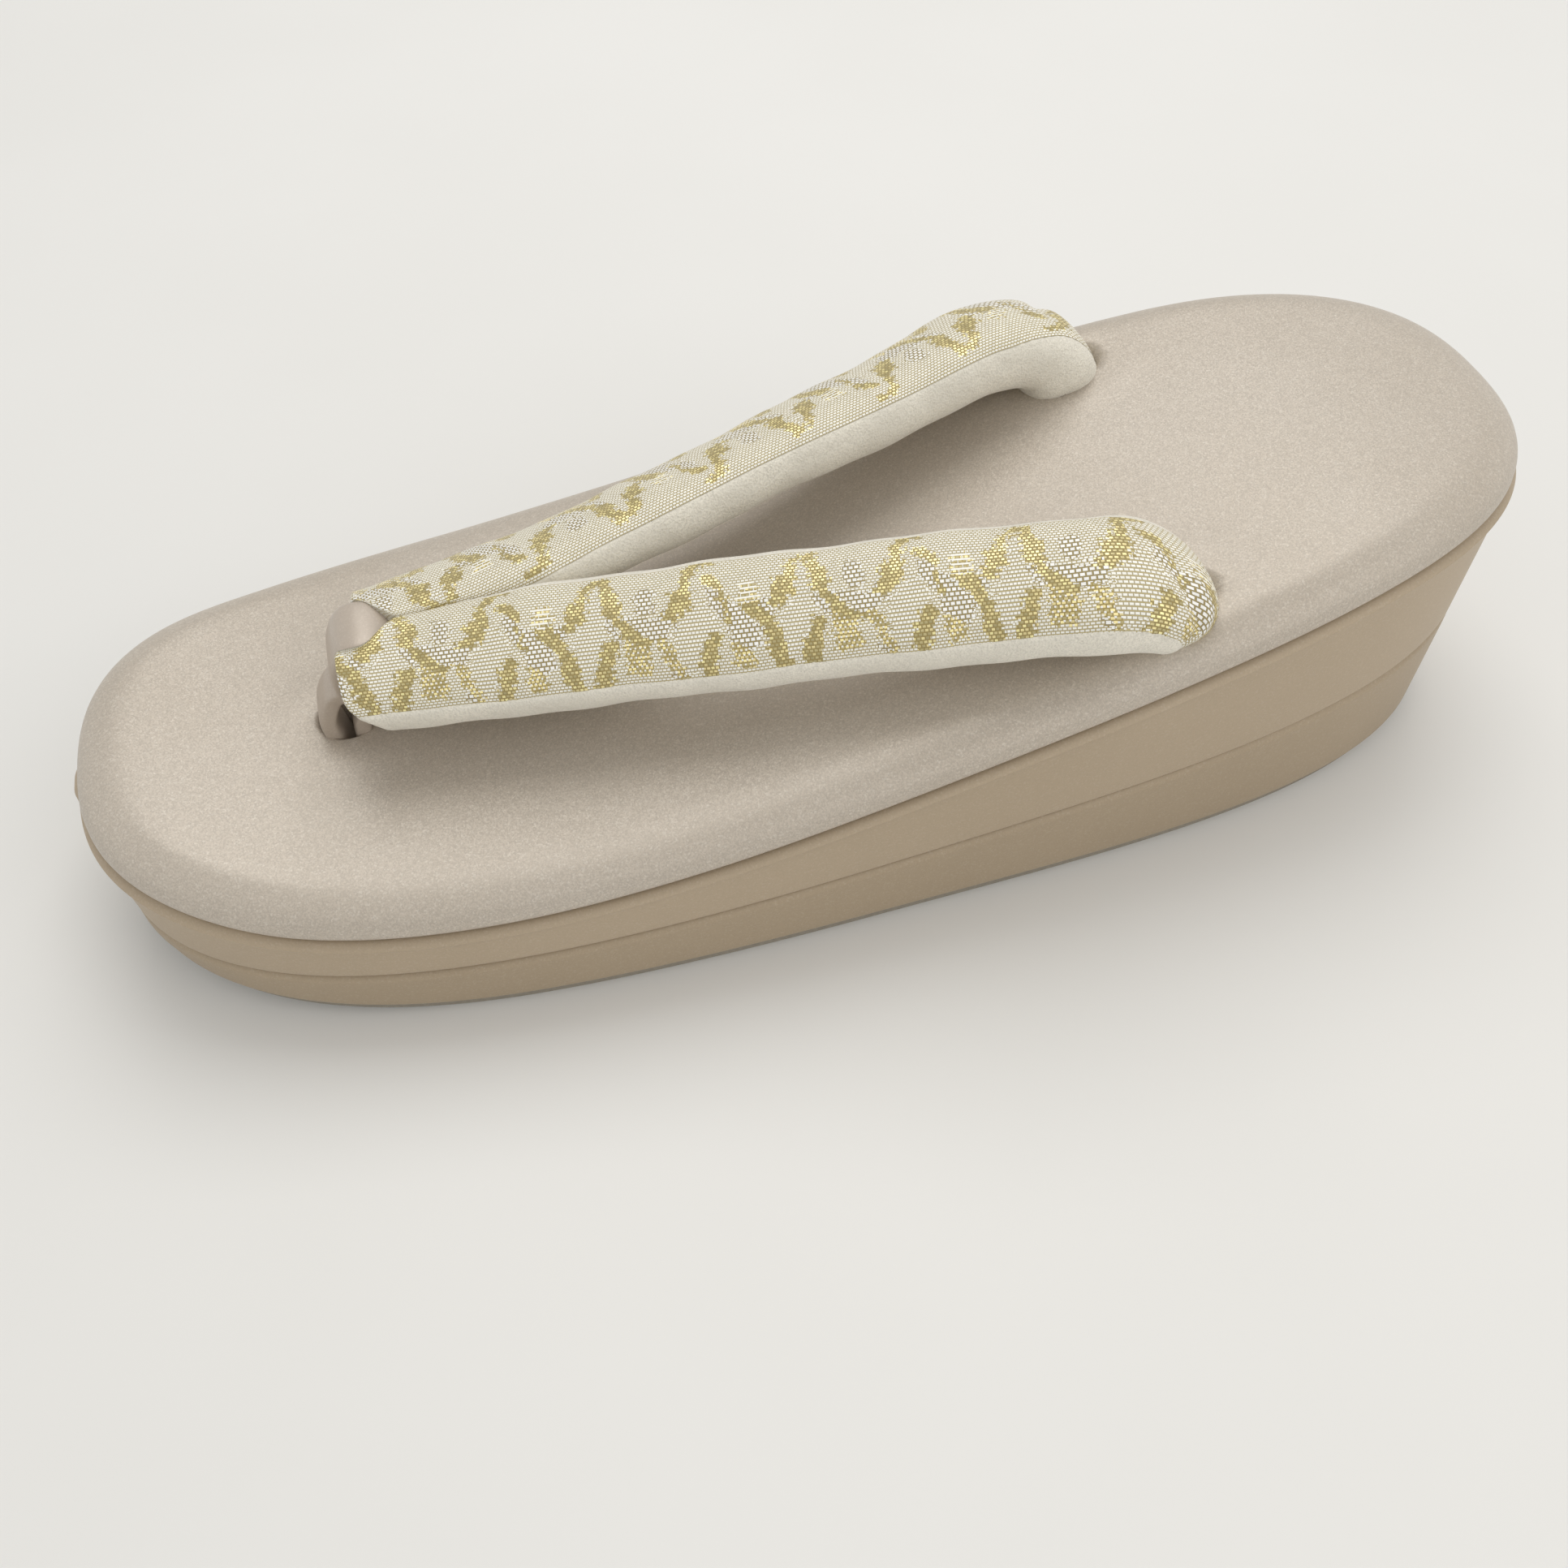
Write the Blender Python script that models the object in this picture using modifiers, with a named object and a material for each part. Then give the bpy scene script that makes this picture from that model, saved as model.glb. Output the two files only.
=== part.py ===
# Zori sandal, one of a symmetric pair, empty and standing flat on its sole.
# Metres. The toe points along -Y, the heel along +Y, and +Z is up from the floor.
# The origin is on the floor, midway between the toe and heel tips and between the sides.

import math
from collections import namedtuple

import bmesh
import bpy
from mathutils import Vector

MM = 0.001

# Sole: overall sizes
SOLE_LENGTH = 240.0 * MM
SOLE_HALF_WIDTH = 44.4 * MM
TOE_SEAM_HEIGHT = 27.5 * MM
MIDDLE_SEAM_HEIGHT = 30.0 * MM
HEEL_SEAM_HEIGHT = 50.5 * MM
TOE_SPRING = 5.4 * MM
OUTSOLE_THICKNESS = 2.2 * MM
OUTSOLE_INSET = 1.0 * MM
TOE_TUCK = 1.2 * MM
HEEL_TUCK = 1.2 * MM
LAYER_EDGE_RADIUS = 1.0 * MM
LAP_WIDTH = 7.0 * MM
LAP_PROUD = 0.9 * MM
SPRING_START = -0.5
LAP_START = -0.9
LAP_SHARPNESS = 4
LAP_FOOT = 0.2
LOWER_LAYER_LEVELS = (0.05, 0.5)
UPPER_LAYER_LEVELS = (0.5, 1.0)

# Top pad: sizes
PAD_THICKNESS = 6.6 * MM
PAD_RIM = 6.4 * MM
PAD_OVERHANG = 0.5 * MM
PAD_FOOT_INSET = 0.75 * MM
PAD_FOOT_RISE = 0.5 * MM
PAD_RIM_START = 0.25

# Straps: sizes
STRAP_WIDTH = 21.0 * MM
STRAP_THICKNESS = 10.0 * MM
STRAP_RISE = 15.2 * MM
COVER_WALL = 1.0 * MM
NOSE_LENGTH = 3.6 * MM
SOCKET_DEPTH = 11.0 * MM
REAR_HOLE_ACROSS = 29.0 * MM
REAR_HOLE_ALONG = 52.0 * MM
REAR_HOLE_HALF_WIDTH = 6.4 * MM
REAR_HOLE_HALF_LENGTH = 8.6 * MM

# Front loop: sizes
LOOP_WIDTH = 10.6 * MM
LOOP_THICKNESS = 3.9 * MM
LOOP_HEIGHT = 19.3 * MM
FRONT_HOLE_ALONG = -78.0 * MM
FRONT_HOLE_HALF_WIDTH = 5.9 * MM
FRONT_HOLE_HALF_LENGTH = 4.8 * MM

# Fit and mesh
CLEARANCE = 0.3 * MM
OUTLINE_STEPS = 40
TIP_CROWDING = 0.8
EDGE_TURNS = (0.0, 30.0, 60.0, 90.0)
RIM_TURNS = (0.0, 18.0, 36.0, 54.0, 72.0, 90.0)
STRAP_STEPS = 24
NOSE_PLACES = [0.0, 0.06, 0.15, 0.25, 0.40, 0.65]
LOOP_STEPS = 26
COVER_ARC_STEPS = 9
LINING_ARC_STEPS = 6
ENVELOPE_TURN_STEPS = 20
LOOP_TURN_STEPS = 14
TIP_SCALE = 0.06
INNER_SHRINK = 0.999
LARGEST_SEAM_TURN = math.radians(20.0)
SEAM_PROBE = math.radians(0.5)
HOLE_SEGMENTS = 28
SHARP_ANGLE = math.radians(35.0)
MERGE_DISTANCE = 0.01 * MM

# Outline: fullness is the half width, as a share of SOLE_HALF_WIDTH, that the side would
# reach at the tip before the tip is rounded off with its two exponents.
Outline = namedtuple("Outline", "fullness roundness bluntness")
OUTLINE_TOE = Outline(1.33, 1.99, 2.41)
OUTLINE_HEEL = Outline(1.17, 2.40, 2.45)

# Heights of the two seams along the sole. along runs from -1 at the toe to +1 at the heel.
# The upper seam is a share of the way from MIDDLE_SEAM_HEIGHT to the toe's or heel's seam
# height, and the lower seam is a share of the upper seam's own height.
Seam = namedtuple("Seam", "along toward_toe toward_heel lower_share")
SEAM_ROWS = (
    Seam(-1.00, 1.00, 0.00, 0.455),
    Seam(-0.75, 3.05, 0.00, 0.530),
    Seam(-0.50, 3.24, 0.00, 0.556),
    Seam(-0.25, 2.08, 0.00, 0.537),
    Seam(0.00, 0.00, 0.00, 0.503),
    Seam(0.25, 0.00, 0.312, 0.478),
    Seam(0.50, 0.00, 0.629, 0.464),
    Seam(0.75, 0.00, 0.888, 0.469),
    Seam(1.00, 0.00, 1.000, 0.491),
)

# Strap route from the front end to the hole. along is a share of the way from the front hole
# to the rear hole, across of REAR_HOLE_ACROSS, rise of STRAP_RISE above the pad, width and
# thickness of the strap's own, and tilt is in degrees, outer edge down.
Strap = namedtuple("Strap", "along across rise width thickness tilt")
STRAP_ROWS = (
    Strap(0.018, 0.170, 0.93, 0.84, 0.98, 20.0),
    Strap(0.120, 0.225, 0.94, 0.89, 1.06, 20.0),
    Strap(0.300, 0.365, 0.98, 0.95, 1.06, 22.0),
    Strap(0.535, 0.620, 0.94, 0.96, 1.09, 23.0),
    Strap(0.745, 0.855, 0.79, 0.97, 1.20, 20.0),
    Strap(0.880, 1.040, 0.67, 0.97, 1.26, 17.0),
    Strap(0.955, 1.075, 0.43, 0.86, 1.34, 10.0),
    Strap(0.992, 1.030, 0.05, 0.66, 1.46, 3.0),
    Strap(1.000, 1.000, -0.30, 0.57, 1.60, 0.0),
    Strap(1.000, 1.000, -0.704, 0.57, 1.62, 0.0),
)
SECTION_LEAN = 0.25

# The brocade runs over the top between these two angles of the strap's section, measured
# from the outer edge over the top. Velvet shows on the rest.
OUTER_SEAM_ANGLE = math.radians(27.0)
INNER_SEAM_ANGLE = math.radians(162.0)
SECTION_POWER = 2.4

# Front loop route in the plane of symmetry, from the front leg over the top to the rear leg.
# back is in shares of LOOP_HEIGHT behind the front hole's centre, rise in shares of it above
# the pad, and width is a share of LOOP_WIDTH.
Band = namedtuple("Band", "back rise width")
LOOP_ROWS = (
    Band(-0.113, -0.480, 0.90),
    Band(-0.113, 0.000, 0.95),
    Band(-0.060, 0.240, 1.00),
    Band(0.040, 0.500, 1.00),
    Band(0.110, 0.800, 1.00),
    Band(0.230, 0.965, 1.00),
    Band(0.400, 0.990, 0.98),
    Band(0.530, 0.880, 0.86),
    Band(0.520, 0.680, 0.72),
    Band(0.370, 0.420, 0.74),
    Band(0.180, 0.190, 0.84),
    Band(0.118, 0.000, 0.92),
    Band(0.118, -0.480, 0.90),
)

COLLECTION_NAME = "zori_sandal"
CUTTER_COLLECTION_NAME = "cutters"

Finish = namedtuple("Finish", "colour roughness metallic")
FINISHES = {
    "outsole": Finish((0.34, 0.30, 0.26), 0.80, 0.0),
    "lower_layer": Finish((0.58, 0.49, 0.38), 0.45, 0.0),
    "upper_layer": Finish((0.58, 0.49, 0.38), 0.45, 0.0),
    "top_pad": Finish((0.62, 0.54, 0.45), 0.38, 0.15),
    "front_loop": Finish((0.50, 0.45, 0.40), 0.42, 0.0),
    "strap_cover": Finish((0.74, 0.68, 0.50), 0.50, 0.2),
    "strap_lining": Finish((0.80, 0.77, 0.66), 0.90, 0.0),
}


def mix(low, high, share):
    """Straight blend of two numbers."""
    return low + (high - low) * share


def smooth_row(rows, position):
    """Row of a table at a place along, on a smooth curve through the rows."""
    last = len(rows) - 1
    index = 0
    while index < last - 1 and rows[index + 1].along <= position:
        index += 1
    start = rows[index].along
    return hermite(rows, index, (position - start) / (rows[index + 1].along - start))


def hermite(rows, index, share):
    """Smooth blend between two neighbouring rows, with the slopes of the rows around them."""
    before = rows[max(index - 1, 0)]
    start = rows[index]
    end = rows[index + 1]
    after = rows[min(index + 2, len(rows) - 1)]
    share = min(max(share, 0.0), 1.0)
    values = []
    for column in range(len(start)):
        slope_start = 0.5 * (end[column] - before[column])
        slope_end = 0.5 * (after[column] - start[column])
        rise = 2 * share ** 3 - 3 * share ** 2
        values.append(
            (rise + 1) * start[column]
            - rise * end[column]
            + (share ** 3 - 2 * share ** 2 + share) * slope_start
            + (share ** 3 - share ** 2) * slope_end
        )
    return type(start)(*values)


def sample_route(rows, places):
    """Rows at places, counted in rows from 0, on a smooth route through a table."""
    result = []
    for place in places:
        index = min(int(place), len(rows) - 2)
        result.append(hermite(rows, index, place - index))
    return result


def even_places(first, last, steps):
    """Evenly spread places between two rows of a table."""
    return [mix(first, last, step / steps) for step in range(steps + 1)]


def half_width(along):
    """Half width of the sole's top outline at a place from -1 at the toe to +1 at the heel."""
    lean = 0.5 * (OUTLINE_HEEL.fullness - OUTLINE_TOE.fullness)
    bow = 0.5 * (OUTLINE_HEEL.fullness + OUTLINE_TOE.fullness) - 1.0
    full = SOLE_HALF_WIDTH * (1.0 + lean * along + bow * along ** 2)
    end = OUTLINE_TOE if along < 0.0 else OUTLINE_HEEL
    return full * max(1.0 - abs(along) ** end.roundness, 0.0) ** (1.0 / end.bluntness)


def upper_seam(along):
    """Height of the seam between the top pad and the upper layer."""
    row = smooth_row(SEAM_ROWS, along)
    to_toe = row.toward_toe * (TOE_SEAM_HEIGHT - MIDDLE_SEAM_HEIGHT)
    to_heel = row.toward_heel * (HEEL_SEAM_HEIGHT - MIDDLE_SEAM_HEIGHT)
    return MIDDLE_SEAM_HEIGHT + to_toe + to_heel


def lower_seam(along):
    """Height of the seam between the upper and the lower layer."""
    return upper_seam(along) * smooth_row(SEAM_ROWS, along).lower_share


def spring(along):
    """Height of the outsole's underside above the floor: flat, then rising to the toe."""
    share = max(SPRING_START - along, 0.0) / (SPRING_START + 1.0)
    return TOE_SPRING * share ** 2


def pad_top(y):
    """Height of the top pad's upper face at a place along the sole."""
    return upper_seam(2.0 * y / SOLE_LENGTH) + PAD_THICKNESS


def outline_angles():
    """Angles round the outline, closer together at the toe and heel tips."""
    angles = []
    for step in range(2 * OUTLINE_STEPS):
        turn = step / OUTLINE_STEPS
        crowding = TIP_CROWDING * math.sin(2.0 * math.pi * turn) / (2.0 * math.pi)
        angles.append(math.pi * (turn - crowding))
    return angles


def outline_point(angle, level, inset):
    """Point of the sole's outline at a level from 0, the floor, to 1, the upper seam."""
    along = -math.cos(angle)
    tuck = TOE_TUCK if along < 0.0 else HEEL_TUCK
    reach = 0.5 * SOLE_LENGTH - (1.0 - level) * tuck
    inward = 1.0 - inset / SOLE_HALF_WIDTH
    x = math.copysign(half_width(along), math.sin(angle)) * inward
    if abs(math.sin(angle)) < 1e-9:
        x = 0.0
    y = along * (reach - inset)
    return x, y, along


def ring(level, inset, height, lap=0.0):
    """One closed loop round the sole at heights given by a function of the place along it."""
    points = []
    for angle in outline_angles():
        x, y, along = outline_point(angle, level, inset)
        if along < LAP_START:
            y -= lap * math.exp(-(x / (0.5 * LAP_WIDTH)) ** LAP_SHARPNESS)
        points.append((x, y, height(along)))
    return points


def add_material(obj):
    """Give an object its own Principled material."""
    finish = FINISHES[obj.name]
    material = bpy.data.materials.new(obj.name)
    material.use_nodes = True
    shader = material.node_tree.nodes["Principled BSDF"]
    shader.inputs["Base Color"].default_value = (*finish.colour, 1.0)
    shader.inputs["Roughness"].default_value = finish.roughness
    shader.inputs["Metallic"].default_value = finish.metallic
    obj.data.materials.append(material)


def mesh_object(name, builder, collection):
    """Make an object whose mesh a builder fills, with its faces pointing out."""
    mesh = bpy.data.meshes.new(name)
    work = bmesh.new()
    builder(work)
    bmesh.ops.recalc_face_normals(work, faces=work.faces)
    work.to_mesh(mesh)
    work.free()
    mesh.shade_smooth()
    mesh.set_sharp_from_angle(angle=SHARP_ANGLE)
    obj = bpy.data.objects.new(name, mesh)
    collection.objects.link(obj)
    return obj


def loft(work, rings):
    """Skin a run of like loops of points, side faces only, and return the loops' vertices."""
    loops = [[work.verts.new(point) for point in points] for points in rings]
    for low, high in zip(loops, loops[1:]):
        for index in range(len(low)):
            after = (index + 1) % len(low)
            work.faces.new((low[index], low[after], high[after], high[index]))
    return loops


def close_across(work, loop):
    """Close a loop of the sole with strips from side to side, so a bent face stays true."""
    count = len(loop)
    for index in range(count // 2):
        corners = [loop[index], loop[index + 1], loop[count - index - 1], loop[-index]]
        unique = []
        for corner in corners:
            if corner not in unique:
                unique.append(corner)
        work.faces.new(unique)


def sole_layer(name, rings, collection):
    """A layer of the sole, from its lowest loop to its highest one."""
    def build(work):
        loops = loft(work, rings)
        close_across(work, loops[0])
        close_across(work, loops[-1])
    return mesh_object(name, build, collection)


def rounded_sides(floor, ceiling, low_level, high_level, lap=0.0):
    """Loops of a layer, lowest first, whose lower and upper edges are rounded."""
    lower_edge = []
    upper_edge = []
    for turn in EDGE_TURNS:
        inward = LAYER_EDGE_RADIUS * (1.0 - math.sin(math.radians(turn)))
        rise = LAYER_EDGE_RADIUS * (1.0 - math.cos(math.radians(turn)))
        lower_edge.append(ring(low_level, inward, lambda along, up=rise: floor(along) + up,
                               lap * LAP_FOOT))
        upper_edge.append(ring(high_level, inward, lambda along, up=rise: ceiling(along) - up,
                               lap))
    return lower_edge + upper_edge[::-1]


def make_outsole(collection):
    """Thin outsole, flat from the ball to the heel and sprung at the toe."""
    def underside(along):
        return spring(along)

    def top(along):
        return spring(along) + OUTSOLE_THICKNESS

    rings = [
        ring(0.0, OUTSOLE_INSET, underside),
        ring(0.0, OUTSOLE_INSET, top),
    ]
    return sole_layer("outsole", rings, collection)


def make_lower_layer(collection):
    """Lower layer of the sole, from the outsole to the lower seam."""
    def floor(along):
        return spring(along) + OUTSOLE_THICKNESS + CLEARANCE

    rings = rounded_sides(floor, lower_seam, *LOWER_LAYER_LEVELS)
    return sole_layer("lower_layer", rings, collection)


def make_upper_layer(collection):
    """Upper layer of the sole, a wedge between the two seams, with its wrapping's lap."""
    def floor(along):
        return lower_seam(along) + CLEARANCE

    rings = rounded_sides(floor, upper_seam, *UPPER_LAYER_LEVELS, LAP_PROUD)
    return sole_layer("upper_layer", rings, collection)


def make_top_pad(collection):
    """Padded top with a broad rounded rim."""
    def floor(along):
        return upper_seam(along) + CLEARANCE

    rings = [
        ring(1.0, PAD_FOOT_INSET, floor),
        ring(1.0, -PAD_OVERHANG, lambda along: floor(along) + PAD_FOOT_RISE),
    ]
    for turn in RIM_TURNS:
        inward = PAD_RIM * (1.0 - math.cos(math.radians(turn))) - PAD_OVERHANG
        rise = mix(PAD_RIM_START, 1.0, math.sin(math.radians(turn))) * PAD_THICKNESS
        rings.append(ring(1.0, inward, lambda along, up=rise: upper_seam(along) + up))
    return sole_layer("top_pad", rings, collection)


def section_point(angle, half_wide, half_thick):
    """Point of the strap's rounded section, across and up from its middle."""
    across = math.cos(angle)
    up = math.sin(angle)
    power = 2.0 / SECTION_POWER
    return (
        half_wide * math.copysign(abs(across) ** power, across),
        half_thick * math.copysign(abs(up) ** power, up),
    )


def clearance_angle(angle, half_wide, half_thick):
    """Turn round the section that moves its edge by the clearance."""
    first = Vector(section_point(angle - SEAM_PROBE, half_wide, half_thick))
    second = Vector(section_point(angle + SEAM_PROBE, half_wide, half_thick))
    return min(CLEARANCE * 2.0 * SEAM_PROBE / (second - first).length, LARGEST_SEAM_TURN)


def strap_stations():
    """Middle, directions and half sizes of the right strap's section, front end to hole."""
    front = FRONT_HOLE_ALONG
    stretch = REAR_HOLE_ALONG - FRONT_HOLE_ALONG
    rows = sample_route(STRAP_ROWS, NOSE_PLACES + even_places(1, len(STRAP_ROWS) - 1, STRAP_STEPS))
    middles = []
    for row in rows:
        y = front + row.along * stretch
        surface = pad_top(y) if row.rise > 0.0 else pad_top(REAR_HOLE_ALONG)
        height = surface + row.rise * STRAP_RISE
        middles.append(Vector((row.across * REAR_HOLE_ACROSS, y, height)))
    stations = []
    for index, row in enumerate(rows):
        before = middles[max(index - 1, 0)]
        after = middles[min(index + 1, len(middles) - 1)]
        forward = (after - before).normalized()
        outward = Vector((1.0, -SECTION_LEAN * forward.x, 0.0))
        outward = (outward - forward * outward.dot(forward)).normalized()
        upward = outward.cross(forward)
        tilt = math.radians(row.tilt)
        tilted_out = outward * math.cos(tilt) - upward * math.sin(tilt)
        tilted_up = upward * math.cos(tilt) + outward * math.sin(tilt)
        half_wide = 0.5 * STRAP_WIDTH * row.width
        half_thick = 0.5 * STRAP_THICKNESS * row.thickness
        travelled = sum((b - a).length for a, b in zip(middles[:index], middles[1:index + 1]))
        stations.append((middles[index], tilted_out, tilted_up, half_wide, half_thick, travelled))
    return stations


def nose(travelled):
    """Share of the full section at a distance from the strap's rounded front end."""
    if travelled >= NOSE_LENGTH:
        return 1.0
    if travelled <= 0.0:
        return TIP_SCALE
    left = 1.0 - travelled / NOSE_LENGTH
    return max(math.sqrt(1.0 - left * left), TIP_SCALE)


def place_section(station, points):
    """Section points, across and up, set into space at a station."""
    middle, outward, upward = station[:3]
    return [middle + outward * across + upward * up for across, up in points]


def arc(start, end, steps, half_wide, half_thick):
    """Points of the section between two angles."""
    turns = [mix(start, end, step / steps) for step in range(steps + 1)]
    return [section_point(turn, half_wide, half_thick) for turn in turns]


def cover_rings():
    """Loops of the brocade cover: its outer face, then its inner face back again."""
    rings = []
    for station in strap_stations():
        half_wide, half_thick, travelled = station[3:]
        full = nose(travelled)
        within = nose(travelled - COVER_WALL) * INNER_SHRINK
        outer = arc(OUTER_SEAM_ANGLE, INNER_SEAM_ANGLE, COVER_ARC_STEPS,
                    half_wide * full, half_thick * full)
        inner = arc(INNER_SEAM_ANGLE, OUTER_SEAM_ANGLE, COVER_ARC_STEPS,
                    (half_wide - COVER_WALL) * within, (half_thick - COVER_WALL) * within)
        rings.append(place_section(station, outer + inner))
    return rings


def lining_rings():
    """Loops of the velvet lining and its padding: inside the cover above, full size below."""
    inset = COVER_WALL + CLEARANCE
    rings = []
    for station in strap_stations():
        half_wide, half_thick, travelled = station[3:]
        if travelled < inset:
            continue
        within = nose(travelled - inset)
        shown_wide = half_wide * within
        shown_thick = half_thick * within
        start = OUTER_SEAM_ANGLE - clearance_angle(OUTER_SEAM_ANGLE, shown_wide, shown_thick)
        end = INNER_SEAM_ANGLE + clearance_angle(INNER_SEAM_ANGLE, shown_wide, shown_thick)
        hidden_wide = (half_wide - inset) * within
        hidden_thick = (half_thick - inset) * within
        under = arc(OUTER_SEAM_ANGLE, INNER_SEAM_ANGLE, COVER_ARC_STEPS, hidden_wide, hidden_thick)
        under.insert(0, section_point(start, hidden_wide, hidden_thick))
        under.append(section_point(end, hidden_wide, hidden_thick))
        shown = arc(end, 2.0 * math.pi + start, LINING_ARC_STEPS, shown_wide, shown_thick)
        rings.append(place_section(station, under + shown))
    return rings


def lengthened(stations, margin):
    """Stations whose first and last sections are moved outward along the route."""
    result = list(stations)
    for end, neighbour in ((0, 1), (-1, -2)):
        away = (result[end][0] - result[neighbour][0]).normalized()
        result[end] = (result[end][0] + away * margin, *result[end][1:])
    return result


def full_turn(steps, half_wide, half_thick):
    """Points all the way round a section."""
    return arc(0.0, 2.0 * math.pi * (steps - 1) / steps, steps - 1, half_wide, half_thick)


def envelope_rings(grow):
    """Loops of the strap's whole outside, grown by a margin, for cutting its socket."""
    rings = []
    for station in lengthened(strap_stations(), grow):
        half_wide, half_thick = station[3:5]
        points = full_turn(ENVELOPE_TURN_STEPS, half_wide + grow, half_thick + grow)
        rings.append(place_section(station, points))
    return rings


def strap_half(name, rings, side, collection):
    """One side's strap, skinned from its loops, on the right or mirrored to the left."""
    def build(work):
        placed = [[(side * point.x, point.y, point.z) for point in points] for points in rings]
        loops = loft(work, placed)
        work.faces.new(loops[0])
        work.faces.new(loops[-1])
    return mesh_object(name, build, collection)


def loop_stations():
    """Middle, directions and half width of the loop's section along its route."""
    middles = []
    widths = []
    for row in sample_route(LOOP_ROWS, even_places(0, len(LOOP_ROWS) - 1, LOOP_STEPS)):
        y = FRONT_HOLE_ALONG + row.back * LOOP_HEIGHT
        z = pad_top(FRONT_HOLE_ALONG) + row.rise * LOOP_HEIGHT
        middles.append(Vector((0.0, y, z)))
        widths.append(0.5 * LOOP_WIDTH * row.width)
    sideways = Vector((1.0, 0.0, 0.0))
    stations = []
    for index, middle in enumerate(middles):
        before = middles[max(index - 1, 0)]
        after = middles[min(index + 1, len(middles) - 1)]
        outward = sideways.cross((after - before).normalized())
        stations.append((middle, sideways, outward, widths[index]))
    return stations


def loop_rings(grow):
    """Loops of the leather band in the plane of symmetry, grown by a margin."""
    rings = []
    for station in lengthened(loop_stations(), grow):
        points = full_turn(LOOP_TURN_STEPS, station[3] + grow, 0.5 * LOOP_THICKNESS + grow)
        rings.append(place_section(station, points))
    return rings


def make_loop(name, grow, collection):
    """Leather loop that holds the two straps to the front hole."""
    def build(work):
        loops = loft(work, loop_rings(grow))
        work.faces.new(loops[0])
        work.faces.new(loops[-1])
    return mesh_object(name, build, collection)


def mark_cutter(obj):
    """Keep a cutter out of renders and show it as wire."""
    obj.hide_render = True
    obj.display_type = "WIRE"


def boolean(obj, other, operation):
    """Join or cut an object with another one and leave the modifier on it."""
    modifier = obj.modifiers.new(operation.lower(), "BOOLEAN")
    modifier.operation = operation
    modifier.object = other


def hole_cutter(name, across, along, half_wide, half_long, collection):
    """Upright oval cutter for a hole through the pad into the upper layer."""
    bottom = pad_top(along) - SOCKET_DEPTH - CLEARANCE
    top = pad_top(along) + STRAP_RISE
    mesh = bpy.data.meshes.new(name)
    work = bmesh.new()
    bmesh.ops.create_cone(work, cap_ends=True, segments=HOLE_SEGMENTS,
                          radius1=1.0, radius2=1.0, depth=1.0)
    bmesh.ops.scale(work, vec=(half_wide, half_long, top - bottom), verts=work.verts)
    work.to_mesh(mesh)
    work.free()
    obj = bpy.data.objects.new(name, mesh)
    obj.location = (across, along, 0.5 * (top + bottom))
    collection.objects.link(obj)
    mark_cutter(obj)
    return obj


def mirror_across(obj):
    """Cut an object at the plane of symmetry and join it there with its mirror image."""
    modifier = obj.modifiers.new("mirror", "MIRROR")
    modifier.use_axis = (True, False, False)
    modifier.use_bisect_axis = (True, False, False)
    modifier.merge_threshold = MERGE_DISTANCE
    modifier.bisect_threshold = 0.1 * MERGE_DISTANCE


def make_straps(parts, loop_space):
    """Brocade cover and velvet lining, each one V of two straps joined at the front."""
    straps = []
    for name, rings in (("strap_cover", cover_rings()), ("strap_lining", lining_rings())):
        strap = strap_half(name, rings, 1.0, parts)
        mirror_across(strap)
        boolean(strap, loop_space, "DIFFERENCE")
        straps.append(strap)
    return straps


def main():
    """Build the sandal's pieces in their collection and the cutters in another."""
    for obj in list(bpy.data.objects):
        bpy.data.objects.remove(obj)
    parts = bpy.data.collections.new(COLLECTION_NAME)
    cutters = bpy.data.collections.new(CUTTER_COLLECTION_NAME)
    bpy.context.scene.collection.children.link(parts)
    bpy.context.scene.collection.children.link(cutters)

    outsole = make_outsole(parts)
    lower = make_lower_layer(parts)
    upper = make_upper_layer(parts)
    pad = make_top_pad(parts)
    loop = make_loop("front_loop", 0.0, parts)
    loop_space = make_loop("loop_space", CLEARANCE, cutters)
    mark_cutter(loop_space)
    cover, lining = make_straps(parts, loop_space)

    holes = [
        hole_cutter("front_hole", 0.0, FRONT_HOLE_ALONG,
                    FRONT_HOLE_HALF_WIDTH, FRONT_HOLE_HALF_LENGTH, cutters),
    ]
    for side, label in ((1.0, "right"), (-1.0, "left")):
        holes.append(hole_cutter(label + "_hole", side * REAR_HOLE_ACROSS, REAR_HOLE_ALONG,
                                 REAR_HOLE_HALF_WIDTH, REAR_HOLE_HALF_LENGTH, cutters))
        space = strap_half(label + "_strap_space", envelope_rings(CLEARANCE), side, cutters)
        mark_cutter(space)
        holes.append(space)
    holes.append(loop_space)
    for piece in (upper, pad):
        for hole in holes:
            boolean(piece, hole, "DIFFERENCE")

    for piece in (outsole, lower, upper, pad, loop, cover, lining):
        add_material(piece)


main()
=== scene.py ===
"""Looks of a zori sandal: pearl leather sole, brocade straps lined with velvet, leather toe loop.

Metres. The toe points along -Y, the heel along +Y, and +Z is up from the floor.
"""

import math
from collections import namedtuple

import bpy
import numpy as np
from mathutils import Matrix, Vector


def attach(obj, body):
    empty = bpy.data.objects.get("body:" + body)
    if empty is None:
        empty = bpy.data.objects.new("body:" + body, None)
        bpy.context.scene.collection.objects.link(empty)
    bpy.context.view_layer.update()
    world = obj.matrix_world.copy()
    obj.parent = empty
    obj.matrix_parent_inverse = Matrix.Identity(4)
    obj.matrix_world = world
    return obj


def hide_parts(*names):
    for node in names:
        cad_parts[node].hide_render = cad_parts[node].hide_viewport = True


MM = 0.001

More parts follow.
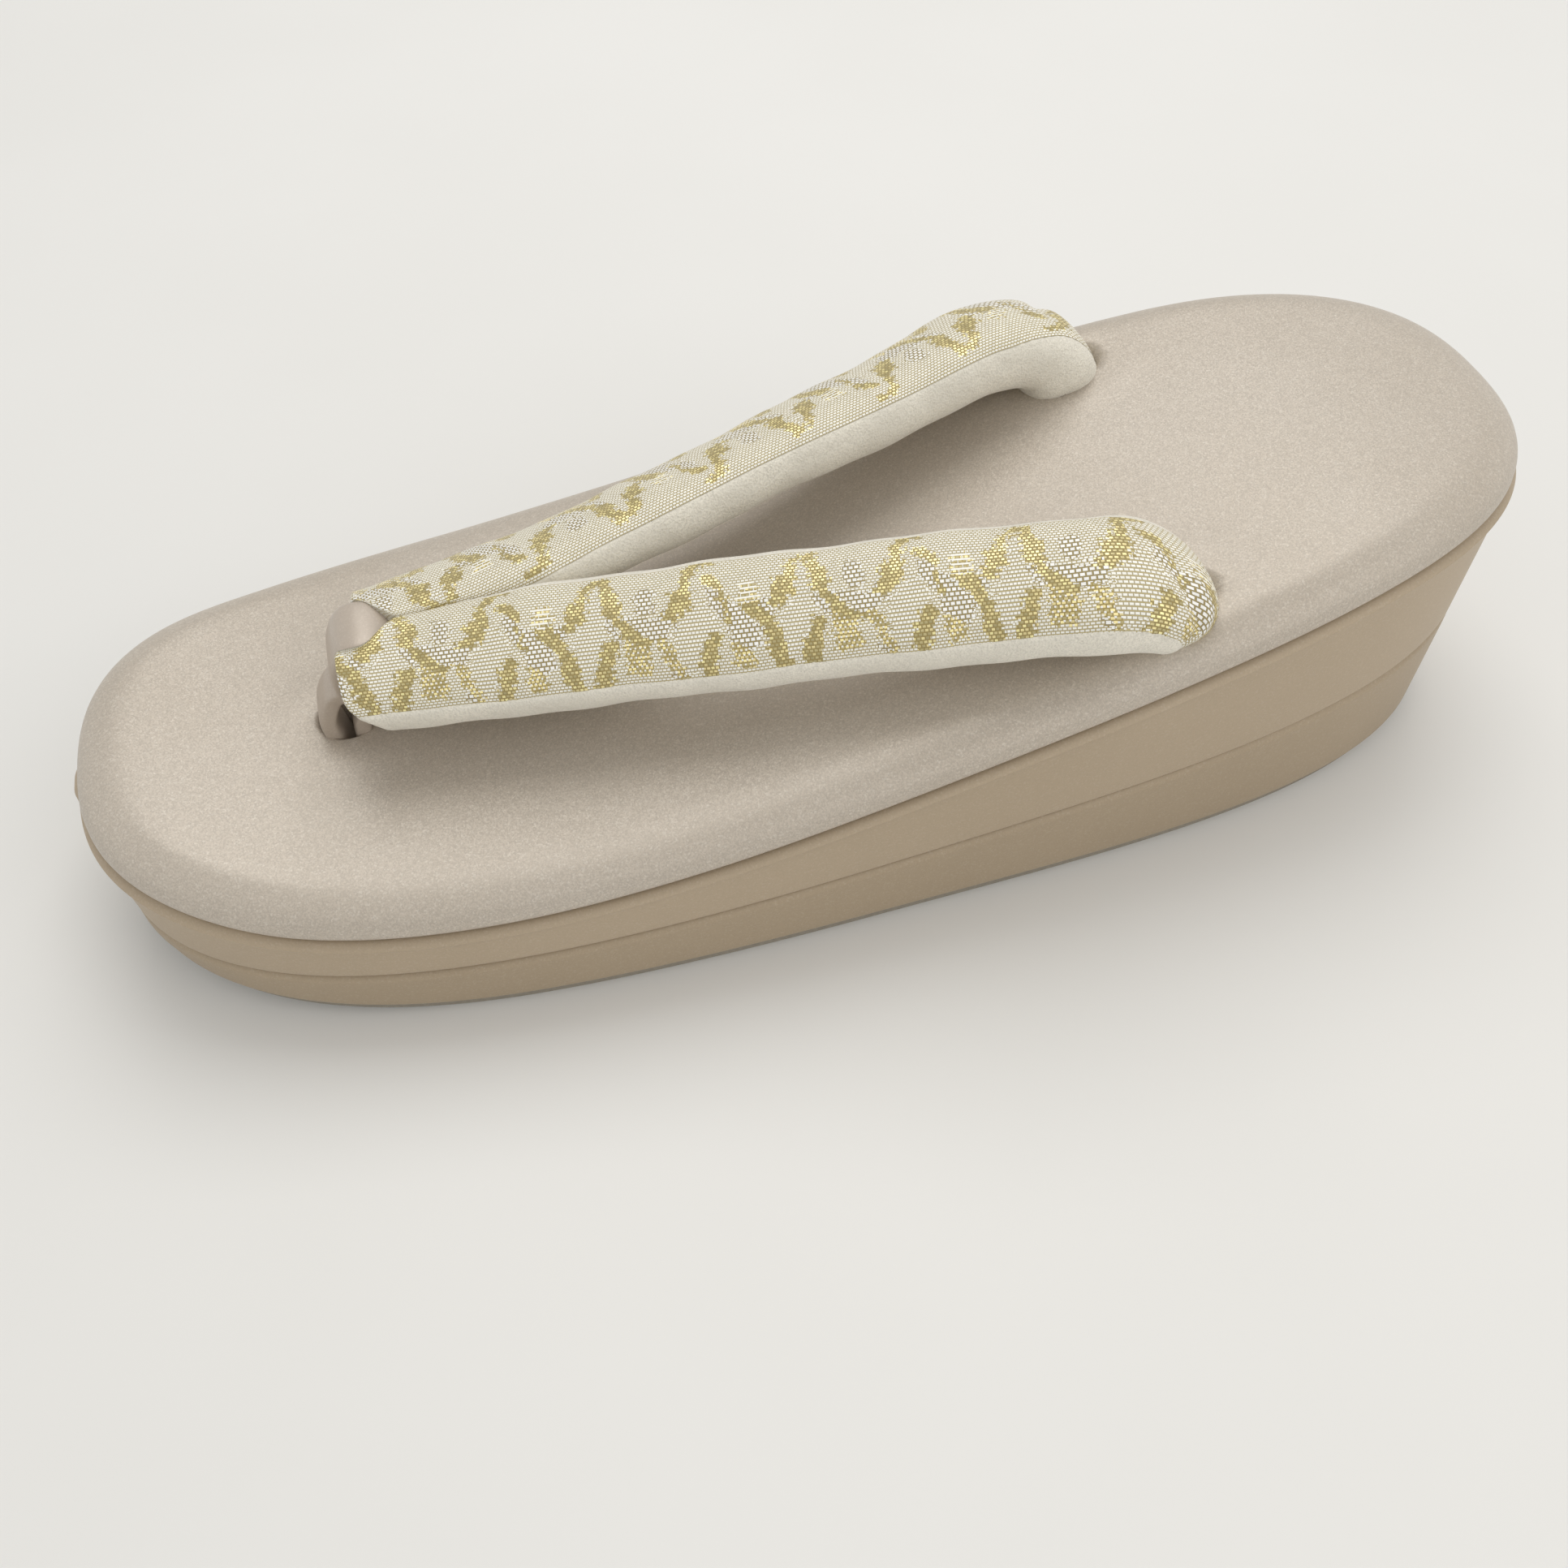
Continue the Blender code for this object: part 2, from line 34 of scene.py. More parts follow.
# Sole: the frame's own sizes, but for the lap and the pad's foot and overhang, which are fitted
# to the photograph
SOLE_LENGTH = 240.0 * MM
SOLE_HALF_WIDTH = 44.4 * MM
TOE_SEAM_HEIGHT = 27.5 * MM
MIDDLE_SEAM_HEIGHT = 30.0 * MM
HEEL_SEAM_HEIGHT = 50.5 * MM
TOE_SPRING = 5.4 * MM
SPRING_START = -0.5
OUTSOLE_THICKNESS = 2.2 * MM
OUTSOLE_INSET = 1.0 * MM
OUTSOLE_LOWER_EDGE = 0.4 * MM
OUTSOLE_UPPER_EDGE = 0.2 * MM
END_TUCK = 1.2 * MM
LAP_WIDTH = 7.0 * MM
LAP_PROUD = 0.8 * MM
LAYER_GAP = 0.25 * MM
PAD_THICKNESS = 6.6 * MM
# How far the pad's side stands past the sole's outline: less than nothing, so it is set in
PAD_OVERHANG = -0.10 * MM
PAD_FOOT_INSET = 1.5 * MM
PAD_FOOT_RISE = 1.3 * MM
PAD_UNDERSIDE_INSET = 3.0 * MM

# Straps and loop: the frame's own sizes, with the strap's bend, its holes and the loop's band
# fitted to the photograph a little more closely than the solids are
STRAP_WIDTH = 21.0 * MM
STRAP_THICKNESS = 10.0 * MM
STRAP_RISE = 15.2 * MM
NOSE_LENGTH = 5.0 * MM
REAR_HOLE_ACROSS = 29.0 * MM
REAR_HOLE_ALONG = 52.0 * MM
REAR_HOLE_HALF_WIDTH = 5.3 * MM
REAR_HOLE_HALF_LENGTH = 7.0 * MM
NEAR_HOLE_ALONG = 49.6 * MM
FAR_HOLE_ALONG = 55.2 * MM
FRONT_HOLE_ALONG = -78.0 * MM
FRONT_HOLE_HALF_WIDTH = 4.5 * MM
FRONT_HOLE_HALF_LENGTH = 4.6 * MM
Hole = namedtuple("Hole", "across along half_width half_length")
HOLES = (
    Hole(0.0, FRONT_HOLE_ALONG, FRONT_HOLE_HALF_WIDTH, FRONT_HOLE_HALF_LENGTH),
    Hole(REAR_HOLE_ACROSS, NEAR_HOLE_ALONG, REAR_HOLE_HALF_WIDTH, REAR_HOLE_HALF_LENGTH),
    Hole(-REAR_HOLE_ACROSS, FAR_HOLE_ALONG, REAR_HOLE_HALF_WIDTH, REAR_HOLE_HALF_LENGTH),
)
# Shape of the pad at a hole: the well and its wall, the rounded lip, and the puff round it
HOLE_DEPTH = 7.0 * MM
HOLE_LIP = 0.15 * MM
LIP_REACH = 0.8 * MM
WELL_WALL = 1.2 * MM
PUFF = 0.20 * MM
PUFF_PLACE = 4.5 * MM
PUFF_WIDTH = 3.0 * MM
LOOP_WIDTH = 10.6 * MM
LOOP_THICKNESS = 3.0 * MM
LOOP_HEIGHT = 19.3 * MM
LOOP_SQUARENESS = 4.4
OUTER_SEAM_ANGLE = math.radians(27.0)
INNER_SEAM_ANGLE = math.radians(162.0)
SECTION_POWER = 2.4
SECTION_LEAN = 0.25

Outline = namedtuple("Outline", "fullness roundness bluntness")
OUTLINE_TOE = Outline(1.33, 1.99, 2.41)
OUTLINE_HEEL = Outline(1.17, 2.40, 2.45)

# Seam heights along the sole, toe to heel: the upper seam as shares of the way to the toe's
# and the heel's seam height, and the lower seam as a share of the upper seam's height.
Seam = namedtuple("Seam", "along toward_toe toward_heel lower_share")
SEAM_ROWS = (
    Seam(-1.00, 1.00, 0.00, 0.455),
    Seam(-0.75, 3.05, 0.00, 0.530),
    Seam(-0.50, 3.24, 0.00, 0.556),
    Seam(-0.25, 2.08, 0.00, 0.537),
    Seam(0.00, 0.00, 0.00, 0.503),
    Seam(0.25, 0.00, 0.312, 0.478),
    Seam(0.50, 0.00, 0.629, 0.464),
    Seam(0.75, 0.00, 0.888, 0.469),
    Seam(1.00, 0.00, 1.000, 0.491),
)

# Strap route from the front end to the hole: along in shares of the way from the front hole to
# the rear one, across of REAR_HOLE_ACROSS, rise of STRAP_RISE, width and thickness of the
# strap's own, and tilt in degrees, outer edge down.
Strap = namedtuple("Strap", "along across rise width thickness tilt")
STRAP_ROWS = (
    Strap(0.018, 0.170, 0.93, 0.84, 0.98, 20.0),
    Strap(0.120, 0.225, 0.94, 0.89, 1.06, 20.0),
    Strap(0.300, 0.365, 0.98, 0.95, 1.06, 22.0),
    Strap(0.535, 0.620, 0.94, 0.96, 1.09, 23.0),
    Strap(0.745, 0.855, 0.79, 0.97, 1.20, 20.0),
    Strap(0.880, 1.030, 0.68, 1.00, 1.26, 17.0),
    Strap(0.950, 1.060, 0.46, 1.00, 1.32, 12.0),
    Strap(0.987, 1.030, 0.13, 0.92, 1.40, 5.0),
    Strap(1.000, 1.000, -0.30, 0.64, 1.58, 0.0),
    Strap(1.000, 1.000, -0.704, 0.57, 1.62, 0.0),
)

# Loop route in the middle plane, from the front leg over the top to the rear leg: back and rise
# in shares of LOOP_HEIGHT, width of LOOP_WIDTH.
Band = namedtuple("Band", "back rise width")
LOOP_ROWS = (
    Band(-0.060, -0.360, 0.74),
    Band(-0.118, -0.020, 0.78),
    Band(-0.125, 0.180, 0.78),
    Band(-0.040, 0.370, 0.70),
    Band(0.080, 0.480, 0.84),
    Band(0.085, 0.640, 0.98),
    Band(0.118, 0.800, 1.02),
    Band(0.220, 0.945, 1.02),
    Band(0.390, 0.960, 1.00),
    Band(0.530, 0.860, 0.90),
    Band(0.530, 0.680, 0.74),
    Band(0.370, 0.420, 0.72),
    Band(0.190, 0.190, 0.78),
    Band(0.118, 0.000, 0.78),
    Band(0.118, -0.360, 0.78),
)

# Edges of the sole layers: radius of the lower and the upper edge, and the soft bead under the
# upper layer's top edge, whose rows give the drop below that edge and the share of its roll
LOWER_LAYER_EDGES = (0.8 * MM, 1.4 * MM)
UPPER_LAYER_EDGES = (1.2 * MM, 1.0 * MM)
BEAD_ROLL = 0.80 * MM
BeadRow = namedtuple("BeadRow", "drop proud")
BEAD_ROWS = (
    BeadRow(1.5 * MM, 0.0),
    BeadRow(1.0 * MM, 0.10),
    BeadRow(0.5 * MM, 0.60),
    BeadRow(0.2 * MM, 0.92),
)

# Where the loop's band presses the straps' inner sides, and how softly
NOTCH_FRONT = -72.0 * MM
NOTCH_BACK = -65.0 * MM
NOTCH_HALF_WIDTH = 5.35 * MM
SQUEEZE = 0.45 * MM

# Strap's front end: the point of the section that it closes on, and how short it is on top
NOSE_ACROSS = -0.2
NOSE_UP = 0.1
BLUNT_NOSE_LENGTH = 1.2 * MM
# How far the front end leans back: as a whole, more on the outer side, and less above
FRONT_LEAN = (0.6 * MM, 0.4 * MM, -1.7 * MM)
FRONT_LEAN_REACH = 15.0 * MM
# How far each strap lies along the sole from the even place, at its front end and at its hole
NEAR_SHIFT = (0.4 * MM, -2.4 * MM)
FAR_SHIFT = (3.6 * MM, 3.3 * MM)

# Slanting fold where each strap turns down into its hole, placed along the strap
FOLD_DEPTH = 0.9 * MM
FOLD_WIDTH = 1.1 * MM
FOLD_PLACE = 129.5 * MM
FOLD_SLANT = 3.5 * MM

# Unevenness of the stuffing: height and length of a slow and a quick wave
SLOW_LUMP = (0.16 * MM, 31.0 * MM)
QUICK_LUMP = (0.09 * MM, 13.0 * MM)

# Brocade: how far it stands proud of the stuffing, dips at its turned edges, and lies inside.
# Velvet: how far it stands proud below the brocade, is sunk under it, and the seam's softness.
COVER_PROUD = 0.12 * MM
COVER_EDGE = -0.25 * MM
COVER_INSIDE = -0.8 * MM
INNER_POINTS = 9
VELVET_PROUD = 0.38 * MM
VELVET_SUNK = 0.6 * MM
SEAM_SOFTNESS = 0.14

# Fineness of the made surfaces
OUTLINE_STEPS = 600
TIP_CROWDING = 0.8
PAD_RINGS = 76
RIM_RINGS = 16
RIM_CROWDING = 1.6
PAD_MIDDLE_GAP = 0.2 * MM
RIM_WIDTH = 9.0 * MM
RIM_POWER = 2.3
RIM_FOOT = 0.22
RIM_FLAT_WIDTH = 5.9 * MM
EDGE_STEPS = 7
ROUTE_FINENESS = 2000
NOSE_STATIONS = 12
LOOP_STEPS = 170
LOOP_TURN = 44
LINING_TURN = 72

# Brocade: size of one woven cell and how many lie across from the inner seam to the outer one.
# The near cover starts a few cells further from the inner seam than the far one, both seams turn
# where the strap bends into its hole, and the far cover reaches further round near its front.
# The chart has its own, larger squares: the near strap reads it forward from CHART_START, and the
# far strap backward from CHART_TURNED.
CELL = 0.42 * MM
CELLS_ACROSS = 46
INNER_BEND_TURN = math.radians(62.0)
OUTER_BEND_TURN = math.radians(58.0)
NEAR_FIRST_ROW = 4
FAR_FIRST_ROW = 1
NEAR_SEAM_ANGLE = math.radians(146.0)
FAR_SEAM_ANGLE = math.radians(158.0)
FAR_FRONT_TURN = math.radians(20.0)
CHART_SQUARE = 0.52 * MM
CHART_ROWS = 38
REPEAT = 62
# How ragged the shapes' edges are, in squares, and the numbers that scatter them
RAGGED_EDGE = 2.2
RAGGED_SEED = (12.9898, 78.233, 43758.5453)
CHART_START = 4.0
CHART_TURNED = 107.0

# Leathers: lighter and darker tone, strength of the sparkle (painted into the colour of the flakes
# and glints, and as tilt of the flakes), depth of the grain and roughness
Leather = namedtuple("Leather", "light dark sparkle grain roughness")
LEATHERS = {
    "top_leather": Leather(
        (0.520, 0.462, 0.392), (0.50, 0.440, 0.368), 0.09, 0.009 * MM, 0.40
    ),
    "side_leather": Leather(
        (0.460, 0.370, 0.264), (0.442, 0.354, 0.250), 0.03, 0.010 * MM, 0.48
    ),
    # Darker copy of the side leather for the lower layer: painted shade, where less light comes up
    # from the floor
    "side_leather_painted_shade": Leather(
        (0.410, 0.326, 0.227), (0.392, 0.310, 0.214), 0.03, 0.010 * MM, 0.48
    ),
    "loop_leather": Leather((0.52, 0.45, 0.38), (0.48, 0.41, 0.34), 0.03, 0.015 * MM, 0.33),
}
# Colour of the painted glints: highlights painted into the leathers' colour
PAINTED_GLINT_COLOUR = (0.92, 0.88, 0.80, 1.0)
TONE_SIZE = 38.0 * MM
FLAKE_SIZE = 0.20 * MM
GLINT_SIZE = 0.27 * MM
PORE_SIZE = 0.55 * MM
CREASE_SIZE = 6.0 * MM
VELVET_COLOUR = (0.92, 0.875, 0.765)
PILE_SIZE = 0.34 * MM
NAP_PATCH_SIZE = 9.0 * MM
NAP_FOLD_SIZE = 5.0 * MM
RUBBER_COLOUR = (0.30, 0.27, 0.22)
FLOOR_SIZE = 6.0
FLOOR_TONES = ((0.800, 0.795, 0.775, 1.0), (0.815, 0.810, 0.792, 1.0))

# Camera and light
CAMERA_AZIMUTH = 75.381
CAMERA_ELEVATION = 51.603
CAMERA_ROLL = -1.297
CAMERA_PLACE = (168.289 * MM, -48.564 * MM, 204.398 * MM)
CAMERA_LENS = 32.978
CAMERA_SENSOR = 36.0


def catmull(values, places):
    """Smooth curve through evenly spaced values, read at places counted in values from 0."""
    values = np.asarray(values, float)
    last = len(values) - 1
    places = np.clip(places, 0.0, last)
    index = np.minimum(places.astype(int), last - 1)
    share = places - index
    before = values[np.maximum(index - 1, 0)]
    start = values[index]
    end = values[index + 1]
    after = values[np.minimum(index + 2, last)]
    rise = 2 * share ** 3 - 3 * share ** 2
    return (
        (rise + 1) * start
        - rise * end
        + (share ** 3 - 2 * share ** 2 + share) * 0.5 * (end - before)
        + (share ** 3 - share ** 2) * 0.5 * (after - start)
    )


def column(rows, name):
    """One named column of a table."""
    return [getattr(row, name) for row in rows]


def smooth(low, high, value):
    """Smooth step from 0 at low to 1 at high."""
    share = np.clip((value - low) / (high - low), 0.0, 1.0)
    return share * share * (3.0 - 2.0 * share)


def half_width(along):
    """Half width of the top outline at places from -1 at the toe to +1 at the heel."""
    lean = 0.5 * (OUTLINE_HEEL.fullness - OUTLINE_TOE.fullness)
    bow = 0.5 * (OUTLINE_HEEL.fullness + OUTLINE_TOE.fullness) - 1.0
    full = SOLE_HALF_WIDTH * (1.0 + lean * along + bow * along ** 2)
    toe = along < 0.0
    roundness = np.where(toe, OUTLINE_TOE.roundness, OUTLINE_HEEL.roundness)
    bluntness = np.where(toe, OUTLINE_TOE.bluntness, OUTLINE_HEEL.bluntness)
    return full * np.maximum(1.0 - np.abs(along) ** roundness, 0.0) ** (1.0 / bluntness)


def seam_places(along):
    """Places in the seam table for places along the sole."""
    return (along + 1.0) * 0.5 * (len(SEAM_ROWS) - 1)


def upper_seam(along):
    """Height of the seam between the top pad and the upper layer."""
    to_toe = catmull(column(SEAM_ROWS, "toward_toe"), seam_places(along))
    to_heel = catmull(column(SEAM_ROWS, "toward_heel"), seam_places(along))
    return (
        MIDDLE_SEAM_HEIGHT
        + to_toe * (TOE_SEAM_HEIGHT - MIDDLE_SEAM_HEIGHT)
        + to_heel * (HEEL_SEAM_HEIGHT - MIDDLE_SEAM_HEIGHT)
    )


def lower_seam(along):
    """Height of the seam between the upper and the lower layer."""
    return upper_seam(along) * catmull(column(SEAM_ROWS, "lower_share"), seam_places(along))


def spring(along):
    """Height of the outsole's underside above the floor."""
    share = np.maximum(SPRING_START - along, 0.0) / (SPRING_START + 1.0)
    return TOE_SPRING * share ** 2


def pad_top(y):
    """Height of the pad's upper face at a distance along the sole."""
    return upper_seam(np.asarray(2.0 * y / SOLE_LENGTH)) + PAD_THICKNESS


def outline(level, inset, lap=0.0):
    """Across, along in metres and along in shares, round the sole at a level and an inset."""
    turn = np.arange(OUTLINE_STEPS) / (0.5 * OUTLINE_STEPS)
    crowding = TIP_CROWDING * np.sin(2.0 * math.pi * turn) / (2.0 * math.pi)
    angle = math.pi * (turn - crowding)
    along = -np.cos(angle)
    reach = 0.5 * SOLE_LENGTH - (1.0 - level) * END_TUCK
    inward = 1.0 - inset / SOLE_HALF_WIDTH
    x = np.where(np.abs(np.sin(angle)) < 1e-9, 0.0, np.copysign(half_width(along), np.sin(angle)))
    x = x * inward
    y = along * (reach - inset)
    y = y - np.where(along < -0.9, lap * np.exp(-(x / (0.5 * LAP_WIDTH)) ** 4), 0.0)
    return x, y, along


def sole_ring(level, inset, height, lap=0.0):
    """One closed loop of points round the sole, at heights worked out from the place along."""
    x, y, along = outline(level, inset, lap)
    return np.stack([x, y, height(along)], axis=1)


def mesh_piece(name, rings, caps, sharp=40.0):
    """Object skinned from closed rings of points, with its two end rings capped.

    Caps are strips from side to side, or plain ends.
    """
    rings = np.asarray(rings, float)
    count, size = rings.shape[:2]
    vertices = rings.reshape(-1, 3)
    faces = []
    for ring_index in range(count - 1):
        base = ring_index * size
        for index in range(size):
            after = (index + 1) % size
            faces.append((base + index, base + after, base + size + after, base + size + index))
    if caps == "strips":
        faces += strips(0, size, False) + strips((count - 1) * size, size, True)
    else:
        faces.append(tuple(range(size))[::-1])
        faces.append(tuple((count - 1) * size + index for index in range(size)))
    mesh = bpy.data.meshes.new(name)
    mesh.from_pydata(vertices.tolist(), [], faces)
    mesh.validate()
    mesh.shade_smooth()
    mesh.set_sharp_from_angle(angle=math.radians(sharp))
    piece = bpy.data.objects.new(name, mesh)
    bpy.context.scene.collection.objects.link(piece)
    return piece


def strips(base, size, upward):
    """Faces from side to side that close a ring of the sole."""
    faces = []
    for index in range(size // 2):
        corners = [index, index + 1, size - index - 1, (size - index) % size]
        unique = list(dict.fromkeys(corners))
        face = [base + corner for corner in unique]
        faces.append(tuple(face if upward else face[::-1]))
    return faces


def settle(piece, node, material):
    """Put a finished piece in place of a CAD node and material."""
    piece.data.materials.clear()
    piece.data.materials.append(material)
    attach(piece, "root")
    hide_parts(node)


class Material:
    """A Principled material, with short ways to add the nodes that drive it."""

    def __init__(self, name):
        self.block = bpy.data.materials.new(name)
        self.block.use_nodes = True
        self.tree = self.block.node_tree
        self.shader = self.tree.nodes["Principled BSDF"]

    def connect(self, socket, value):
        """Link a socket, or set it to a constant."""
        if isinstance(value, bpy.types.NodeSocket):
            self.tree.links.new(value, socket)
        else:
            socket.default_value = value

    def add(self, kind, inputs=None, output=0, **settings):
        """Add a node and return one of its outputs."""
        node = self.tree.nodes.new(kind)
        for name, value in settings.items():
            setattr(node, name, value)
        for name, value in (inputs or {}).items():
            self.connect(node.inputs[name], value)
        return node.outputs[output]

    def set(self, **sockets):
        """Set or link the shader's own sockets, with _ for a space in their names."""
        for name, value in sockets.items():
            self.connect(self.shader.inputs[name.replace("_", " ")], value)

    def math(self, operation, *values):
        """A Math node's result."""
        return self.add("ShaderNodeMath", dict(enumerate(values)), operation=operation)

    def mix(self, share, first, second):
        """Blend of two colours."""
        inputs = {0: share, 6: first, 7: second}
        return self.add("ShaderNodeMix", inputs, output=2, data_type="RGBA")

    def step(self, value, low, high, start=0.0, end=1.0):
        """Smooth step of a value between low and high, to a number from start to end."""
        inputs = {"Value": value, "From Min": low, "From Max": high, "To Min": start, "To Max": end}
        return self.add("ShaderNodeMapRange", inputs, interpolation_type="SMOOTHSTEP")

    def place(self):
        """Place on the piece, in metres."""
        return self.add("ShaderNodeTexCoord", output=3)

    def noise(self, place, size, detail):
        """Noise whose features are about a size across."""
        inputs = {"Vector": place, "Scale": 1.0 / size, "Detail": detail}
        return self.add("ShaderNodeTexNoise", inputs)

    def cells(self, place, size):
        """Random colour of each cell of a given size."""
        return self.add("ShaderNodeTexVoronoi", {"Vector": place, "Scale": 1.0 / size}, output=1)

    def bump(self, height, depth, normal=None):
        """Normal bent by a height from 0 to 1 that stands for a depth in metres."""
        inputs = {"Height": height, "Strength": 1.0, "Distance": depth}
        if normal is not None:
            inputs["Normal"] = normal
        return self.add("ShaderNodeBump", inputs)


def pearl_leather(name):
    """Leather with a pearl finish: fine flakes with painted sparkle, a few painted glints, grain and
    soft tone changes.
    """
    light, dark, sparkle, grain, roughness = LEATHERS[name]
    leather = Material(name)
    place = leather.place()
    tone = leather.step(leather.noise(place, TONE_SIZE, 3.0), 0.30, 0.70)
    flake = leather.cells(place, FLAKE_SIZE)
    flake_value = leather.add("ShaderNodeSeparateColor", {"Color": flake})
    # Painted sparkle: each flake's colour made lighter or darker at random, standing in for its
    # glitter as well as its own tone
    flake_painted_sparkle = leather.step(flake_value, 0.0, 1.0, 1.0 - sparkle, 1.0 + sparkle)
    base = leather.mix(tone, (*dark, 1.0), (*light, 1.0))
    coloured = leather.add(
        "ShaderNodeVectorMath", {0: base, 1: flake_painted_sparkle}, operation="MULTIPLY"
    )
    # Painted glints: a few random cells turned pale, highlights painted into the colour
    glint_value = leather.add(
        "ShaderNodeSeparateColor", {"Color": leather.cells(place, GLINT_SIZE)}, output=1
    )
    painted_glint = leather.step(glint_value, 0.78, 0.98, 0.0, 1.9 * sparkle)
    coloured = leather.mix(painted_glint, coloured, PAINTED_GLINT_COLOUR)
    tilt = leather.add(
        "ShaderNodeVectorMath", {0: flake, 1: (0.5, 0.5, 0.5)}, operation="SUBTRACT"
    )
    tilt = leather.add(
        "ShaderNodeVectorMath", {0: tilt, 1: (sparkle,) * 3}, operation="MULTIPLY"
    )
    normal = leather.add("ShaderNodeNewGeometry", output=1)
    tilted = leather.add("ShaderNodeVectorMath", {0: normal, 1: tilt}, operation="ADD")
    tilted = leather.add("ShaderNodeVectorMath", {0: tilted}, operation="NORMALIZE")
    pores = leather.noise(place, PORE_SIZE, 3.0)
    creases = leather.noise(place, CREASE_SIZE, 4.0)
    bent = leather.bump(pores, grain, tilted)
    bent = leather.bump(creases, 2.5 * grain, bent)
    leather.set(Base_Color=coloured, Normal=bent, Roughness=roughness, Metallic=0.12)
    leather.set(Specular_IOR_Level=0.45)
    return leather.block


def plain_material(name, colour, roughness, grain_size, grain):
    """Plain material with a fine grain."""
    plain = Material(name)
    place = plain.place()
    speck = plain.step(plain.noise(place, grain_size, 3.0), 0.3, 0.7, 0.0, 1.0)
    dark = tuple(0.88 * channel for channel in colour)
    shade = plain.mix(speck, (*dark, 1.0), (*colour, 1.0))
    plain.set(Base_Color=shade, Roughness=roughness, Normal=plain.bump(speck, grain))
    return plain.block


def velvet_material(name):
    """Short-piled velvet."""
    velvet = Material(name)
    place = velvet.place()
    pile = velvet.noise(place, PILE_SIZE, 3.0)
    patch = velvet.noise(place, NAP_PATCH_SIZE, 2.0)
    dark = tuple(0.90 * channel for channel in VELVET_COLOUR)
    shade = velvet.mix(velvet.step(patch, 0.3, 0.7), (*dark, 1.0), (*VELVET_COLOUR, 1.0))
    deep = tuple(0.84 * channel for channel in VELVET_COLOUR)
    shade = velvet.mix(velvet.step(pile, 0.35, 0.62), (*deep, 1.0), shade)
    folds = velvet.bump(velvet.noise(place, NAP_FOLD_SIZE, 3.0), 0.9 * MM)
    normal = velvet.bump(pile, 0.30 * MM, folds)
    velvet.set(Base_Color=shade, Roughness=0.92, Normal=normal)
    velvet.set(Sheen_Weight=0.55, Sheen_Roughness=0.45, Sheen_Tint=(1.0, 0.98, 0.92, 1.0))
    velvet.set(Specular_IOR_Level=0.15)
    return velvet.block


# Threads of each weave: pitch along and across in woven cells, and how much of it they fill
Threads = namedtuple("Threads", "along across fill_along fill_across")
WEAVE_THREADS = {
    "ground": Threads(1.50, 1.05, 0.90, 0.80),
    "lens": Threads(1.40, 1.35, 0.96, 0.74),
    "floats": Threads(2.00, 1.55, 0.84, 0.80),
    "hatch": Threads(3.20, 1.70, 0.94, 0.66),
    "dotted": Threads(1.80, 1.55, 0.48, 0.50),
    "gold": Threads(1.60, 1.20, 0.84, 0.78),
}
SILVER_THREAD = (1.0, 0.985, 0.91, 1.0)
SILVER_GAP = (0.52, 0.43, 0.22, 1.0)
WHITE_THREAD = (1.0, 0.99, 0.95, 1.0)
WHITE_GAP = (0.36, 0.28, 0.11, 1.0)
GOLD_THREAD = (0.86, 0.74, 0.38, 1.0)
GOLD_GAP = (0.38, 0.29, 0.10, 1.0)
WEAVE_RELIEF = 0.17 * MM
PLAIN_ROUGHNESS = 0.55
GOLD_ROUGHNESS = 0.32
GOLD_METAL = 0.45


